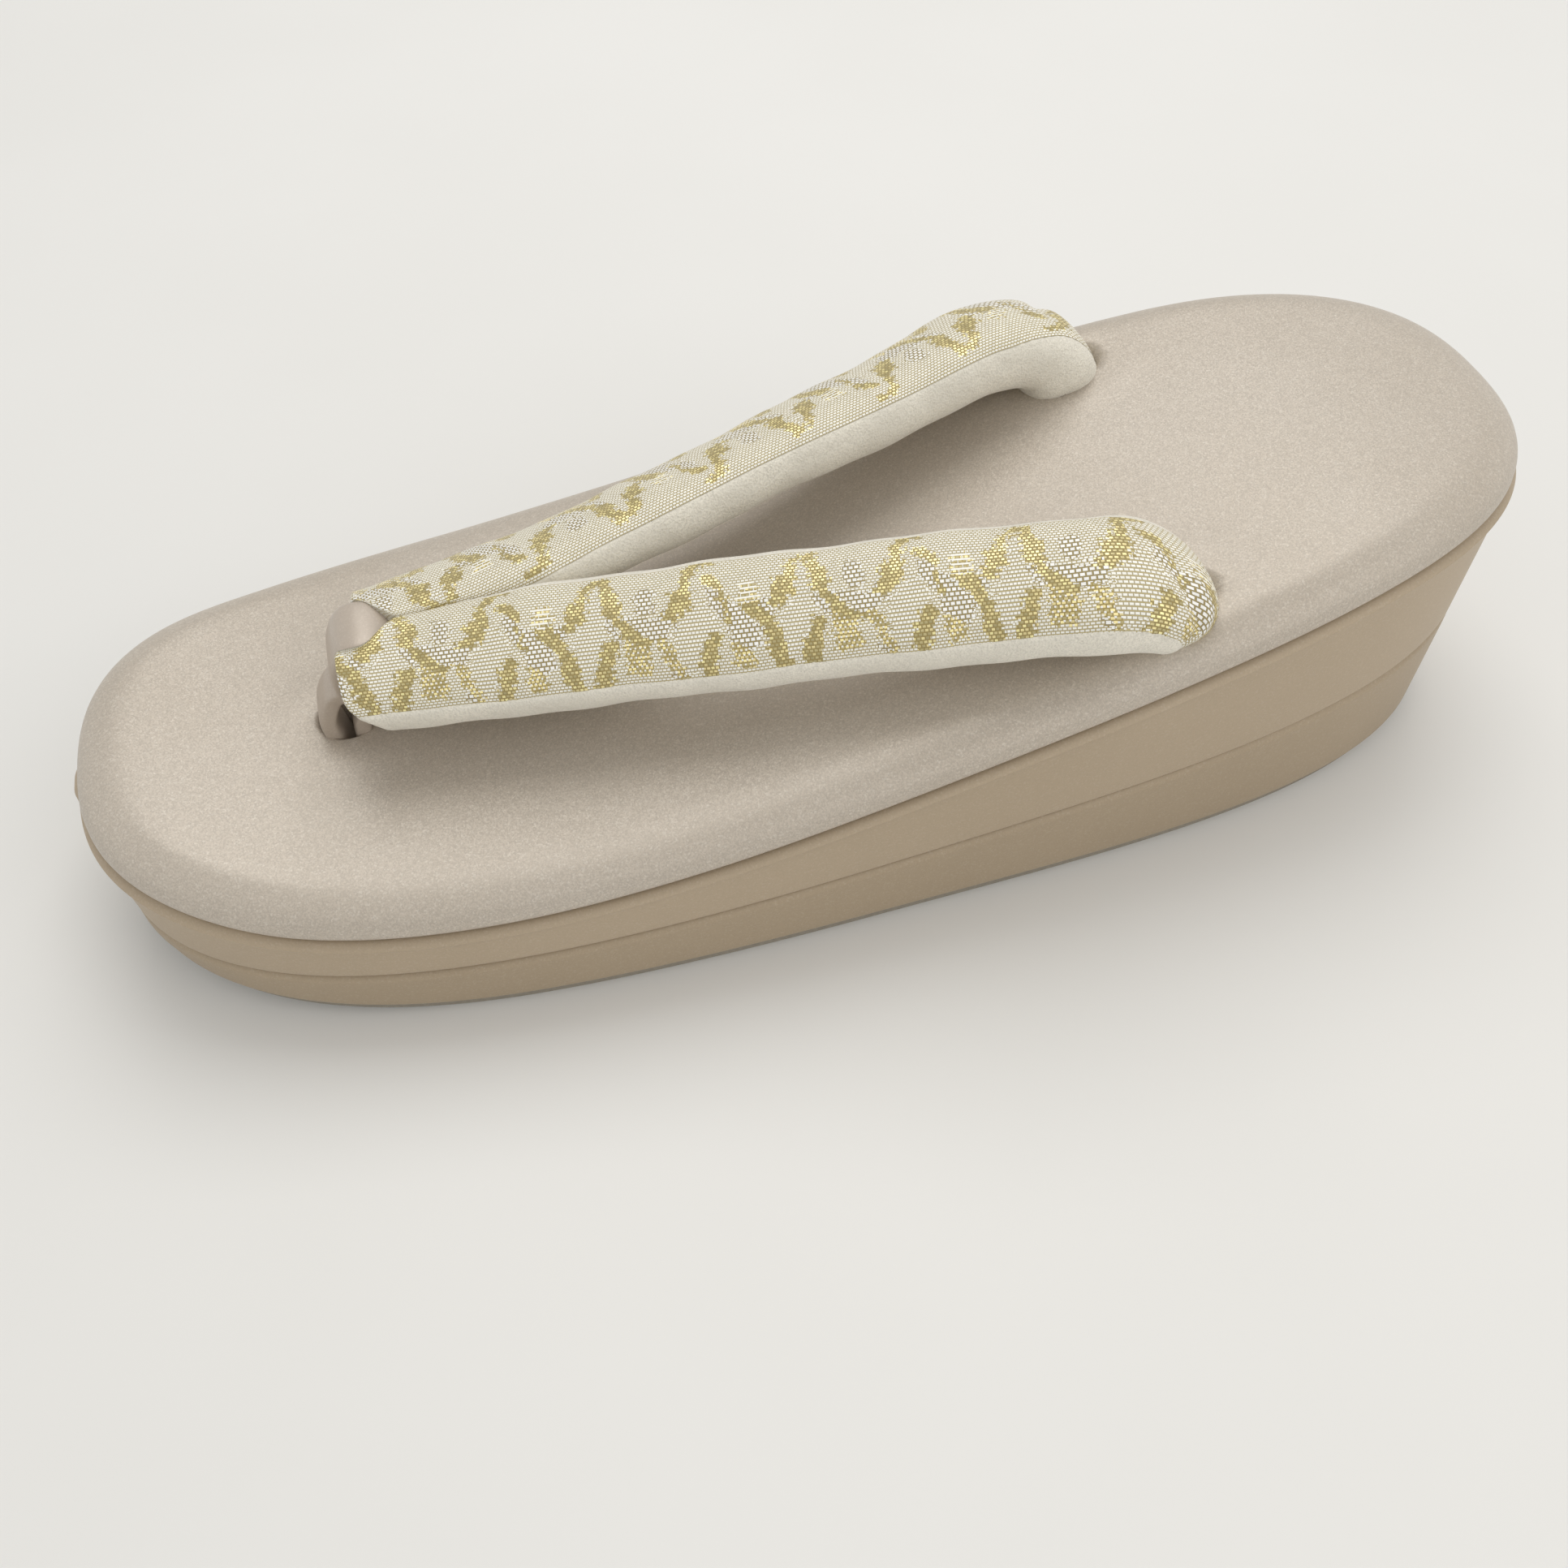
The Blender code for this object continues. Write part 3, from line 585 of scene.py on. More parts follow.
def brocade_material(name):
    """Silver-white and gold brocade, each weave drawn thread by thread."""
    cloth = Material(name)
    uv = cloth.add("ShaderNodeUVMap", uv_map="cells")
    split = cloth.add("ShaderNodeSeparateXYZ", {"Vector": uv}).node
    along, across = split.outputs[0], split.outputs[1]

    def threads(weave):
        """Mask of a weave's threads and a random value for each, offset on every other row."""
        kind = WEAVE_THREADS[weave]
        rows = cloth.math("DIVIDE", across, kind.across)
        row = cloth.math("FLOOR", rows)
        half = cloth.math("MULTIPLY", cloth.math("MODULO", row, 2.0), 0.5)
        columns = cloth.math("ADD", cloth.math("DIVIDE", along, kind.along), half)
        along_off = cloth.math("ABSOLUTE", cloth.math("SUBTRACT", cloth.math("FRACT", columns), 0.5))
        across_off = cloth.math("ABSOLUTE", cloth.math("SUBTRACT", cloth.math("FRACT", rows), 0.5))
        reach = 0.5 * kind.fill_along
        side = 0.5 * kind.fill_across
        ends = cloth.step(along_off, reach - 0.16 / kind.along, reach, 1.0, 0.0)
        edges = cloth.step(across_off, side - 0.14 / kind.across, side, 1.0, 0.0)
        place = cloth.add("ShaderNodeCombineXYZ", {0: cloth.math("FLOOR", columns), 1: row})
        chance = cloth.add("ShaderNodeTexWhiteNoise", {"Vector": place}, noise_dimensions="2D")
        return cloth.math("MULTIPLY", ends, edges), chance

    def number_mix(share, first, second):
        """Blend of two numbers."""
        return cloth.add("ShaderNodeMix", {0: share, 2: first, 3: second}, data_type="FLOAT")

    def varied(colour, chance, low, high):
        """Colour made darker or lighter by chance."""
        amount = cloth.step(chance, 0.0, 1.0, low, high)
        return cloth.add("ShaderNodeVectorMath", {0: colour[:3], 1: amount}, operation="MULTIPLY")

    gold_mask, gold_chance = threads("gold")
    # Gold threads vary widely by chance: partly their own tone, partly painted glints that lift some
    # threads past the gold's own colour
    gold_looks = cloth.mix(gold_mask, GOLD_GAP, varied(GOLD_THREAD, gold_chance, 0.58, 1.34))
    ground, chance = threads("ground")
    colour = cloth.mix(ground, SILVER_GAP, varied(SILVER_THREAD, chance, 0.90, 1.03))
    height = cloth.math("MULTIPLY", ground, 0.55)
    shine = 0.0
    for weave in WEAVES:
        mark = cloth.add("ShaderNodeAttribute", output=2, attribute_name=weave)
        mask, chance = (gold_mask, gold_chance) if weave == "gold" else threads(weave)
        gilt = 0.0
        if weave == "lens":
            looks = cloth.mix(mask, SILVER_GAP, varied(SILVER_THREAD, chance, 0.94, 1.03))
            rise = cloth.math("MULTIPLY", mask, 0.7)
        elif weave == "floats":
            looks = cloth.mix(mask, WHITE_GAP, varied(WHITE_THREAD, chance, 0.90, 1.02))
            rise = mask
        elif weave == "hatch":
            looks = cloth.mix(mask, SILVER_THREAD, gold_looks)
            rise = cloth.math("MULTIPLY", mask, 0.7)
            gilt = cloth.math("MULTIPLY", mask, 0.5)
        elif weave == "dotted":
            looks = cloth.mix(mask, gold_looks, WHITE_THREAD)
            rise = cloth.math("MULTIPLY_ADD", mask, 0.4, 0.5)
            gilt = cloth.math("SUBTRACT", 0.6, cloth.math("MULTIPLY", mask, 0.6))
        else:
            looks = gold_looks
            rise = cloth.math("MULTIPLY", mask, 0.8)
            gilt = mask
        colour = cloth.mix(mark, colour, looks)
        height = number_mix(mark, height, rise)
        shine = number_mix(mark, shine, gilt)
    cloth.set(
        Base_Color=colour,
        Roughness=cloth.step(shine, 0.0, 1.0, PLAIN_ROUGHNESS, GOLD_ROUGHNESS),
        Metallic=cloth.math("MULTIPLY", shine, GOLD_METAL),
        Normal=cloth.bump(height, WEAVE_RELIEF),
    )
    cloth.set(Sheen_Weight=0.18, Sheen_Roughness=0.35, Sheen_Tint=(1.0, 0.99, 0.95, 1.0))
    return cloth.block


def make_outsole(material):
    """Thin outsole, set in from the layer above."""
    def top(along):
        return spring(along) + OUTSOLE_THICKNESS

    rings = [
        sole_ring(0.0, OUTSOLE_INSET + OUTSOLE_LOWER_EDGE, spring),
        sole_ring(0.0, OUTSOLE_INSET, lambda along: spring(along) + OUTSOLE_LOWER_EDGE),
        sole_ring(0.0, OUTSOLE_INSET, lambda along: top(along) - OUTSOLE_UPPER_EDGE),
        sole_ring(0.0, OUTSOLE_INSET + OUTSOLE_UPPER_EDGE, top),
    ]
    piece = mesh_piece("outsole_sheet", rings, caps="strips")
    settle(piece, "outsole", material)


def layer_rings(floor, ceiling, levels, edges, lap=0.0, roll=0.0):
    """Rings of a leather-wrapped layer: rounded lower edge, side, and rounded upper edge.

    edges holds the radius of the lower and the upper edge, and roll is how far a soft bead
    under the upper edge stands proud of the side.
    """
    rings = []
    lower_radius, upper_radius = edges
    low, high = levels
    for step in range(EDGE_STEPS + 1):
        turn = 0.5 * math.pi * step / EDGE_STEPS
        inward = lower_radius * (1.0 - math.sin(turn))
        rise = lower_radius * (1.0 - math.cos(turn))
        rings.append(sole_ring(low, inward, lambda along, up=rise: floor(along) + up, 0.2 * lap))
    for share in (0.15, 0.3, 0.45, 0.6, 0.75, 0.9):
        def height(along, part=share):
            bottom = floor(along) + lower_radius
            return bottom + part * (ceiling(along) - upper_radius - BEAD_ROWS[0].drop - bottom)
        level = low + (high - low) * share
        rings.append(sole_ring(level, 0.0, height, lap * (0.2 + 0.8 * share)))
    for row in BEAD_ROWS:
        def bead_height(along, drop=row.drop):
            return ceiling(along) - upper_radius - drop
        rings.append(sole_ring(high, -roll * row.proud, bead_height, lap))
    for step in range(EDGE_STEPS + 1):
        turn = 0.5 * math.pi * step / EDGE_STEPS
        inward = upper_radius * (1.0 - math.cos(turn)) - roll * (1.0 - step / EDGE_STEPS)
        drop = upper_radius * (1.0 - math.sin(turn))
        rings.append(sole_ring(high, inward, lambda along, down=drop: ceiling(along) - down, lap))
    return rings


def make_layers(upper_material, shaded_lower_material):
    """The two leather-wrapped layers of the sole."""
    def lower_floor(along):
        return spring(along) + OUTSOLE_THICKNESS + LAYER_GAP

    def upper_floor(along):
        return lower_seam(along) + LAYER_GAP

    # The lower layer wears the darker copy of the side leather: painted shade
    rings = layer_rings(lower_floor, lower_seam, (0.05, 0.5), LOWER_LAYER_EDGES)
    piece = mesh_piece("lower_layer_wrap", rings, caps="strips")
    settle(piece, "lower_layer", shaded_lower_material)

    rings = layer_rings(
        upper_floor, upper_seam, (0.5, 1.0), UPPER_LAYER_EDGES, lap=LAP_PROUD, roll=BEAD_ROLL
    )
    piece = mesh_piece("upper_layer_wrap", rings, caps="strips")
    settle(piece, "upper_layer", upper_material)


def hole_dip(x, y):
    """Height added to the pad round its holes: a soft puff, a rounded lip, then the hole."""
    total = np.zeros_like(x)
    for hole in HOLES:
        across = (x - hole.across) / hole.half_width
        along = (y - hole.along) / hole.half_length
        outside = (np.sqrt(across ** 2 + along ** 2) - 1.0) * min(hole.half_width, hole.half_length)
        lip = HOLE_LIP * (1.0 - smooth(0.0, LIP_REACH, outside)) ** 1.5
        well = HOLE_DEPTH * (1.0 - smooth(-WELL_WALL, 0.1 * MM, outside))
        puff = PUFF * np.exp(-((outside - PUFF_PLACE) / PUFF_WIDTH) ** 2)
        total += puff - lip - well
    return total


def make_top_pad(material):
    """Padded top with its broad rounded rim and the three holes."""
    def floor(along):
        return upper_seam(along) + LAYER_GAP

    rings = [sole_ring(1.0, PAD_UNDERSIDE_INSET, floor)]
    for step in range(EDGE_STEPS + 1):
        turn = 0.5 * math.pi * step / EDGE_STEPS
        inset = PAD_FOOT_INSET * (1.0 - math.sin(turn)) - PAD_OVERHANG
        rise = PAD_FOOT_RISE * (1.0 - math.cos(turn))
        rings.append(sole_ring(1.0, inset, lambda along, up=rise: floor(along) + up))
    for step in range(1, RIM_RINGS + 1):
        share = (step / RIM_RINGS) ** RIM_CROWDING
        inset = RIM_WIDTH * share - PAD_OVERHANG
        height = (1.0 - (1.0 - share) ** RIM_POWER) ** (1.0 / RIM_POWER)
        rise = (RIM_FOOT + (1.0 - RIM_FOOT) * height) * PAD_THICKNESS
        rings.append(pad_ring(inset, rise))
    for step in range(1, PAD_RINGS + 1):
        inset = RIM_WIDTH - PAD_OVERHANG + (SOLE_HALF_WIDTH - RIM_WIDTH) * step / PAD_RINGS
        rings.append(pad_ring(min(inset, SOLE_HALF_WIDTH - PAD_MIDDLE_GAP), PAD_THICKNESS))
    piece = mesh_piece("top_pad_cover", rings, caps="strips", sharp=70.0)
    settle(piece, "top_pad", material)


def pad_ring(inset, rise):
    """One loop of the pad at an inset, level from side to side inside the rim."""
    x, y, along = outline(1.0, inset)
    flat_reach = 0.5 * SOLE_LENGTH - min(inset, RIM_FLAT_WIDTH)
    z = upper_seam(np.clip(y / flat_reach, -1.0, 1.0)) + rise
    return np.stack([x, y, z + hole_dip(x, y)], axis=1)


Route = namedtuple("Route", "middle outward upward half_wide half_thick travelled")


def strap_route(spacing):
    """Sections of the right strap at even distances along it, from the front end to the hole."""
    places = np.linspace(0.0, len(STRAP_ROWS) - 1, ROUTE_FINENESS)
    read = {name: catmull(column(STRAP_ROWS, name), places) for name in Strap._fields}
    stretch = REAR_HOLE_ALONG - FRONT_HOLE_ALONG
    y = FRONT_HOLE_ALONG + read["along"] * stretch
    surface = np.where(read["rise"] > 0.0, pad_top(y), pad_top(REAR_HOLE_ALONG))
    middle = np.stack(
        [read["across"] * REAR_HOLE_ACROSS, y, surface + read["rise"] * STRAP_RISE], axis=1
    )
    pace = np.linalg.norm(np.diff(middle, axis=0), axis=1)
    travelled = np.concatenate([[0.0], np.cumsum(pace)])
    turns = np.linspace(0.0, 0.5 * math.pi, NOSE_STATIONS)
    front = NOSE_LENGTH * (1.0 - np.cos(turns))
    rest = np.arange(NOSE_LENGTH + spacing, travelled[-1], spacing)
    wanted = np.concatenate([front, rest])

    def at(values):
        return np.interp(wanted, travelled, values)

    points = np.stack([at(middle[:, axis]) for axis in range(3)], axis=1)
    forward = np.stack([at(np.gradient(middle[:, axis], travelled)) for axis in range(3)], axis=1)
    forward /= np.linalg.norm(forward, axis=1, keepdims=True)
    lean = np.stack(
        [np.ones(len(wanted)), -SECTION_LEAN * forward[:, 0], np.zeros(len(wanted))], axis=1
    )
    outward = lean - forward * np.sum(lean * forward, axis=1, keepdims=True)
    outward /= np.linalg.norm(outward, axis=1, keepdims=True)
    upward = np.cross(outward, forward)
    tilt = np.radians(at(read["tilt"]))[:, None]
    return Route(
        points,
        outward * np.cos(tilt) - upward * np.sin(tilt),
        upward * np.cos(tilt) + outward * np.sin(tilt),
        0.5 * STRAP_WIDTH * at(read["width"]),
        0.5 * STRAP_THICKNESS * at(read["thickness"]),
        wanted,
    )


def section(angle, half_wide, half_thick, squareness=SECTION_POWER):
    """Across and up of a rounded section's points."""
    power = 2.0 / squareness
    across = np.cos(angle)
    up = np.sin(angle)
    return (
        half_wide * np.copysign(np.abs(across) ** power, across),
        half_thick * np.copysign(np.abs(up) ** power, up),
    )


def even_angles(start, end, count, half_wide, half_thick):
    """Angles that cut a stretch of the section into even lengths."""
    fine = np.linspace(start, end, 240)
    across, up = section(fine, half_wide, half_thick)
    travelled = np.concatenate([[0.0], np.cumsum(np.hypot(np.diff(across), np.diff(up)))])
    return np.interp(np.linspace(0.0, travelled[-1], count + 1), travelled, fine)


def squeeze(points):
    """Press the right strap's inner side against the loop's band and the middle plane."""
    wall = NOTCH_HALF_WIDTH * (1.0 - smooth(NOTCH_FRONT, NOTCH_BACK, points[:, 1]))
    over = (points[:, 0] - wall) / SQUEEZE
    pressed = wall + SQUEEZE * np.logaddexp(0.0, over)
    return np.stack([pressed, points[:, 1], points[:, 2]], axis=1)


def end_fold(travelled, angle):
    """Depth of the slanting fold where the strap turns down into its rear hole."""
    outer = smooth(-0.5, 0.3, np.cos(angle))
    place = FOLD_PLACE - FOLD_SLANT * np.sin(angle)
    return FOLD_DEPTH * outer * np.exp(-((travelled - place) / FOLD_WIDTH) ** 2)


def lumps(travelled, angle, side):
    """Small unevenness of the stuffing, as a length."""
    phase = 0.0 if side > 0 else 2.1
    slow_height, slow_length = SLOW_LUMP
    quick_height, quick_length = QUICK_LUMP
    slow = np.sin(2.0 * math.pi * travelled / slow_length + 1.3 + phase + 0.8 * np.sin(angle))
    quick = np.sin(2.0 * math.pi * travelled / quick_length + 0.4 + phase + 1.7 * np.cos(angle))
    return slow_height * slow + quick_height * quick - end_fold(travelled, angle)


def nose(travelled, angle):
    """Share of the full section near the strap's front end, blunt above and rounded below."""
    below = 1.0 - smooth(-0.1, 0.8, np.sin(angle))
    length = BLUNT_NOSE_LENGTH + below * (NOSE_LENGTH - BLUNT_NOSE_LENGTH)
    left = np.clip(1.0 - travelled / length, 0.0, 1.0)
    return np.maximum(np.sqrt(1.0 - left * left), 0.04)


def strap_ring(route, index, angle, grow, side):
    """Points of the strap's section at a station, grown outward by lengths along the section."""
    travelled = route.travelled[index]
    half_wide = route.half_wide[index]
    half_thick = route.half_thick[index]
    extra = grow + lumps(travelled, angle, side)
    across, up = section(angle, half_wide + extra, half_thick + extra)
    full = nose(travelled, angle)
    tip_across = NOSE_ACROSS * half_wide
    tip_up = NOSE_UP * half_thick
    across = tip_across + (across - tip_across) * full
    up = tip_up + (up - tip_up) * full
    points = (
        route.middle[index]
        + np.outer(across, route.outward[index])
        + np.outer(up, route.upward[index])
    )
    lean = FRONT_LEAN[0] + FRONT_LEAN[1] * across / half_wide + FRONT_LEAN[2] * up / half_thick
    points[:, 1] += lean * (1.0 - smooth(0.0, FRONT_LEAN_REACH, travelled))
    front_shift, rear_shift = NEAR_SHIFT if side > 0 else FAR_SHIFT
    share = travelled / route.travelled[-1]
    points[:, 1] += front_shift + share * (rear_shift - front_shift)
    points = squeeze(points)
    points[:, 0] *= side
    return points


# The brocade's motif, charted in squares of CHART_SQUARE. Columns run with the strap and
# rows start at the inner seam. Each shape is filled with one weave, and a later one lies on top.
Shape = namedtuple("Shape", "weave corners")
WEAVES = ("lens", "floats", "hatch", "dotted", "gold")
MOTIF = (
    Shape("lens", (
        (51, 13), (53.4, 17.6), (55, 20), (57.5, 23), (56, 25.5), (53.5, 27.5), (51.8, 30),
        (50, 34.5), (47, 36), (45, 33), (44, 29), (43.5, 25), (45, 21.8), (47, 19.8),
        (49.5, 18.6), (50.2, 15),
    )),
    Shape("lens", (
        (81.5, 7.6), (83, 9), (84, 14), (84.2, 17), (86, 18.2), (86.4, 22), (84, 25.5),
        (82.5, 29), (81, 32.5), (79.5, 36), (77, 35), (75.5, 31), (74.8, 27), (75.5, 23),
        (77, 21), (79.5, 18.2), (80.4, 12),
    )),
    Shape("floats", (
        (54, 12.6), (57.5, 14), (59, 17), (62.5, 18.5), (66, 22), (69.5, 26), (69.5, 31),
        (66, 31.5), (60.5, 28.5), (59.8, 24), (57, 20.5), (54.8, 17.6),
    )),
    Shape("floats", (
        (90, 18), (95, 18.8), (100, 20), (104, 17.4), (107, 19), (106, 22.4), (104, 24.8),
        (99, 26), (96, 23.6), (93, 20.8),
    )),
    Shape("floats", ((94.4, 10.8), (97, 9.8), (100, 11), (100, 15), (98.8, 18.2), (94.8, 17.8))),
    Shape("floats", ((70.4, 17.2), (72.5, 19.4), (74, 22), (72.8, 23.4), (70.4, 20.2))),
    Shape("floats", ((84.6, 18.2), (86.4, 18.2), (88.6, 22), (90.2, 24.4), (88.8, 25), (86.6, 22))),
    Shape("floats", ((103.4, 32), (106.4, 33), (108, 36), (106, 37.6), (103, 36))),
    Shape("hatch", ((63.8, 12.4), (69.4, 12.2), (69.4, 18), (63.8, 19))),
    Shape("dotted", ((90.3, 23.5), (92, 24.5), (98, 27.8), (98, 35), (90.6, 35))),
    Shape("dotted", ((60.4, 28.5), (64, 30), (67, 33.4), (66.3, 36.3), (60.6, 36.3))),
    Shape("dotted", (
        (100.2, 25.2), (102.2, 24.8), (105, 27.5), (106.4, 31.5), (108.4, 36.5), (107, 38),
        (104, 34), (102.2, 31.5),
    )),
    Shape("gold", (
        (49, 3), (51, 4.5), (51, 6.5), (50, 8.5), (50, 13), (49.2, 18.5), (46, 20),
        (44.5, 21.2), (40.5, 20.8), (40.3, 19), (42.6, 17.8), (42.8, 13), (45.8, 11.6),
        (46.8, 8), (47.8, 4.5),
    )),
    Shape("gold", ((49, 3), (56, 2.5), (56.3, 5), (54, 4.4), (51, 5.4))),
    Shape("gold", (
        (52.7, 8.2), (56.8, 8.8), (58.4, 10.8), (59.7, 13), (59.8, 16.5), (58.4, 16.8),
        (57.6, 13.8), (55.5, 12.4), (53, 10.8),
    )),
    Shape("gold", ((57.5, 16.5), (59, 16.5), (60.6, 21), (60.6, 24), (59.6, 24), (59, 20.5))),
    Shape("gold", (
        (63.8, 18.6), (69.3, 17.8), (70.2, 20.2), (73, 23), (75, 27.5), (77, 34), (78, 38),
        (73, 38), (71.2, 33), (70.5, 27), (68, 23.5), (65.5, 22),
    )),
    Shape("gold", (
        (54, 26), (56.5, 25.6), (59, 27.5), (57.5, 30.5), (56, 34), (55.2, 38), (50.4, 38),
        (50.8, 34.5), (51.8, 31), (52.5, 28.5),
    )),
    Shape("gold", (
        (80.5, 5), (84.8, 3.8), (84, 6.2), (81.2, 7.2), (80.3, 9.2), (80, 17.4), (77.3, 18),
        (76.6, 20.4), (74, 20.6), (71.7, 19.6), (73, 17.8), (73.6, 12.6), (76.3, 11.8),
        (77, 8.4), (79, 5.8),
    )),
    Shape("gold", (
        (85.3, 3.5), (86.8, 4), (87, 7.4), (88.4, 9.8), (90, 11.6), (90, 17.2), (86, 17.8),
        (84.2, 16.4), (84.4, 10.5), (83.3, 8.3), (83.4, 6.4),
    )),
    Shape("gold", (
        (86.8, 17.4), (89.9, 18), (93, 21.2), (96, 24), (99.6, 26), (98, 28), (92, 25),
        (89.6, 22.4), (88, 20.4),
    )),
    Shape("gold", (
        (84.6, 24.6), (87.8, 24.2), (89.6, 26.5), (88, 29), (87, 31.5), (85.8, 38), (80.6, 38),
        (81.2, 32.8), (82.6, 30), (83.3, 27.2),
    )),
)


def inside(corners, along, across):
    """Whether places lie inside a closed shape."""
    found = np.zeros(along.shape, bool)
    for (x0, y0), (x1, y1) in zip(corners, corners[1:] + corners[:1]):
        crosses = (y0 > across) != (y1 > across)
        if y0 != y1:
            found ^= crosses & (along < x0 + (across - y0) * (x1 - x0) / (y1 - y0))
    return found


def woven(column_place, row_place):
    """Number of each place's weave in WEAVES, or -1 for the ground."""
    weave = np.full(column_place.shape, -1)
    wrapped = column_place % REPEAT
    for shape in MOTIF:
        for shift in (0, REPEAT):
            weave[inside(shape.corners, wrapped + shift, row_place)] = WEAVES.index(shape.weave)
    return weave


def bend_share(route, index):
    """How far a station lies into the bend over the rear hole, from 0 to 1."""
    return float(smooth(0.80, 0.97, route.travelled[index] / route.travelled[-1]))


def front_turn(route, index, side):
    """How much further round the far strap's brocade reaches near its front end."""
    if side > 0:
        return 0.0
    return FAR_FRONT_TURN * (1.0 - float(smooth(14.0 * MM, 44.0 * MM, route.travelled[index])))


def make_cover(route, side, name):
    """Brocade over one strap: outer face, turned edges and inner face, with its weaves marked."""
    first_row = NEAR_FIRST_ROW if side > 0 else FAR_FIRST_ROW
    rings = []
    for index in range(len(route.travelled)):
        wide = route.half_wide[index]
        thick = route.half_thick[index]
        bend = bend_share(route, index)
        start = INNER_SEAM_ANGLE - bend * INNER_BEND_TURN + front_turn(route, index, side)
        stop = OUTER_SEAM_ANGLE - bend * OUTER_BEND_TURN
        outer = even_angles(start, stop, CELLS_ACROSS, wide, thick)[first_row:]
        inner = np.linspace(stop, outer[0], INNER_POINTS)
        angle = np.concatenate([outer, [stop - 0.02], inner, [outer[0] + 0.02]])
        grow = np.concatenate([
            np.full(len(outer), COVER_PROUD), [COVER_EDGE],
            np.full(INNER_POINTS, COVER_INSIDE), [COVER_EDGE],
        ])
        rings.append(strap_ring(route, index, angle, grow, side))
    piece = mesh_piece(name, rings, caps="ends", sharp=70.0)
    mark_weaves(piece, len(rings[0]), route.travelled, side, first_row)
    return piece


def mark_weaves(piece, ring_size, travelled, side, first_row):
    """Write each corner's place in woven cells and each face's weave."""
    mesh = piece.data
    uv_layer = mesh.uv_layers.new(name="cells")
    corner = np.zeros(len(mesh.loops), int)
    mesh.loops.foreach_get("vertex_index", corner)
    station = corner // ring_size
    row = np.minimum(corner % ring_size, CELLS_ACROSS - first_row) + first_row
    uv = np.stack([travelled[station] / CELL, row], axis=1)
    uv_layer.data.foreach_set("uv", uv.astype(np.float32).ravel())
    first = np.zeros(len(mesh.polygons), int)
    mesh.polygons.foreach_get("loop_start", first)
    place = travelled[station[first]] / CHART_SQUARE
    column_place = CHART_START + place if side > 0 else CHART_TURNED - place
    row_place = (row[first] + 0.5) * CHART_ROWS / CELLS_ACROSS
    ragged = np.sin(RAGGED_SEED[0] * np.floor(place) + RAGGED_SEED[1] * row[first])
    ragged = ragged * RAGGED_SEED[2] % 1.0 - 0.5
    weave = woven(column_place + RAGGED_EDGE * ragged, row_place + 0.5 * RAGGED_EDGE * ragged)
    for number, name in enumerate(WEAVES):
        layer = mesh.attributes.new(name, "FLOAT", "FACE")
        layer.data.foreach_set("value", (weave == number).astype(np.float32))


def make_lining(route, side, name):
    """Velvet and stuffing of one strap, full outside the cover and sunk in under it."""
    rings = []
    angle = np.linspace(0.0, 2.0 * math.pi, LINING_TURN, endpoint=False)
    first_seam = NEAR_SEAM_ANGLE if side > 0 else FAR_SEAM_ANGLE
    for index in range(len(route.travelled)):
        bend = bend_share(route, index)
        inner_seam = first_seam - bend * INNER_BEND_TURN + front_turn(route, index, side)
        outer_seam = OUTER_SEAM_ANGLE - bend * OUTER_BEND_TURN
        turn = (angle + 0.5 * math.pi) % (2.0 * math.pi) - 0.5 * math.pi
        hidden = smooth(outer_seam, outer_seam + SEAM_SOFTNESS, turn) * (
            1.0 - smooth(inner_seam - SEAM_SOFTNESS, inner_seam, turn)
        )
        proud = VELVET_PROUD * (0.25 + 0.75 * smooth(-0.3, 0.4, np.cos(turn)))
        grow = proud - (proud + VELVET_SUNK) * hidden
        rings.append(strap_ring(route, index, angle, grow, side))
    return mesh_piece(name, rings, caps="ends", sharp=70.0)


def join(name, pieces):
    """Join pieces into the first one and rename it."""
    bpy.ops.object.select_all(action="DESELECT")
    for piece in pieces:
        piece.select_set(True)
    bpy.context.view_layer.objects.active = pieces[0]
    bpy.ops.object.join()
    pieces[0].name = name
    pieces[0].data.name = name
    return pieces[0]


def make_straps(brocade, velvet):
    """The two straps: one brocade V and one velvet V."""
    route = strap_route(CELL)
    covers = []
    linings = []
    for side, label in ((1.0, "near"), (-1.0, "far")):
        covers.append(make_cover(route, side, "cover_" + label))
        linings.append(make_lining(route, side, "lining_" + label))
    cover = join("brocade_cover", covers)
    lining = join("velvet_lining", linings)
    for piece in (cover, lining):
        face_outward(piece)
    settle(cover, "strap_cover", brocade)
    settle(lining, "strap_lining", velvet)


def face_outward(piece):
    """Turn all faces outward."""
    bpy.ops.object.select_all(action="DESELECT")
    piece.select_set(True)
    bpy.context.view_layer.objects.active = piece
    bpy.ops.object.mode_set(mode="EDIT")
    bpy.ops.mesh.select_all(action="SELECT")
    bpy.ops.mesh.normals_make_consistent(inside=False)
    bpy.ops.object.mode_set(mode="OBJECT")


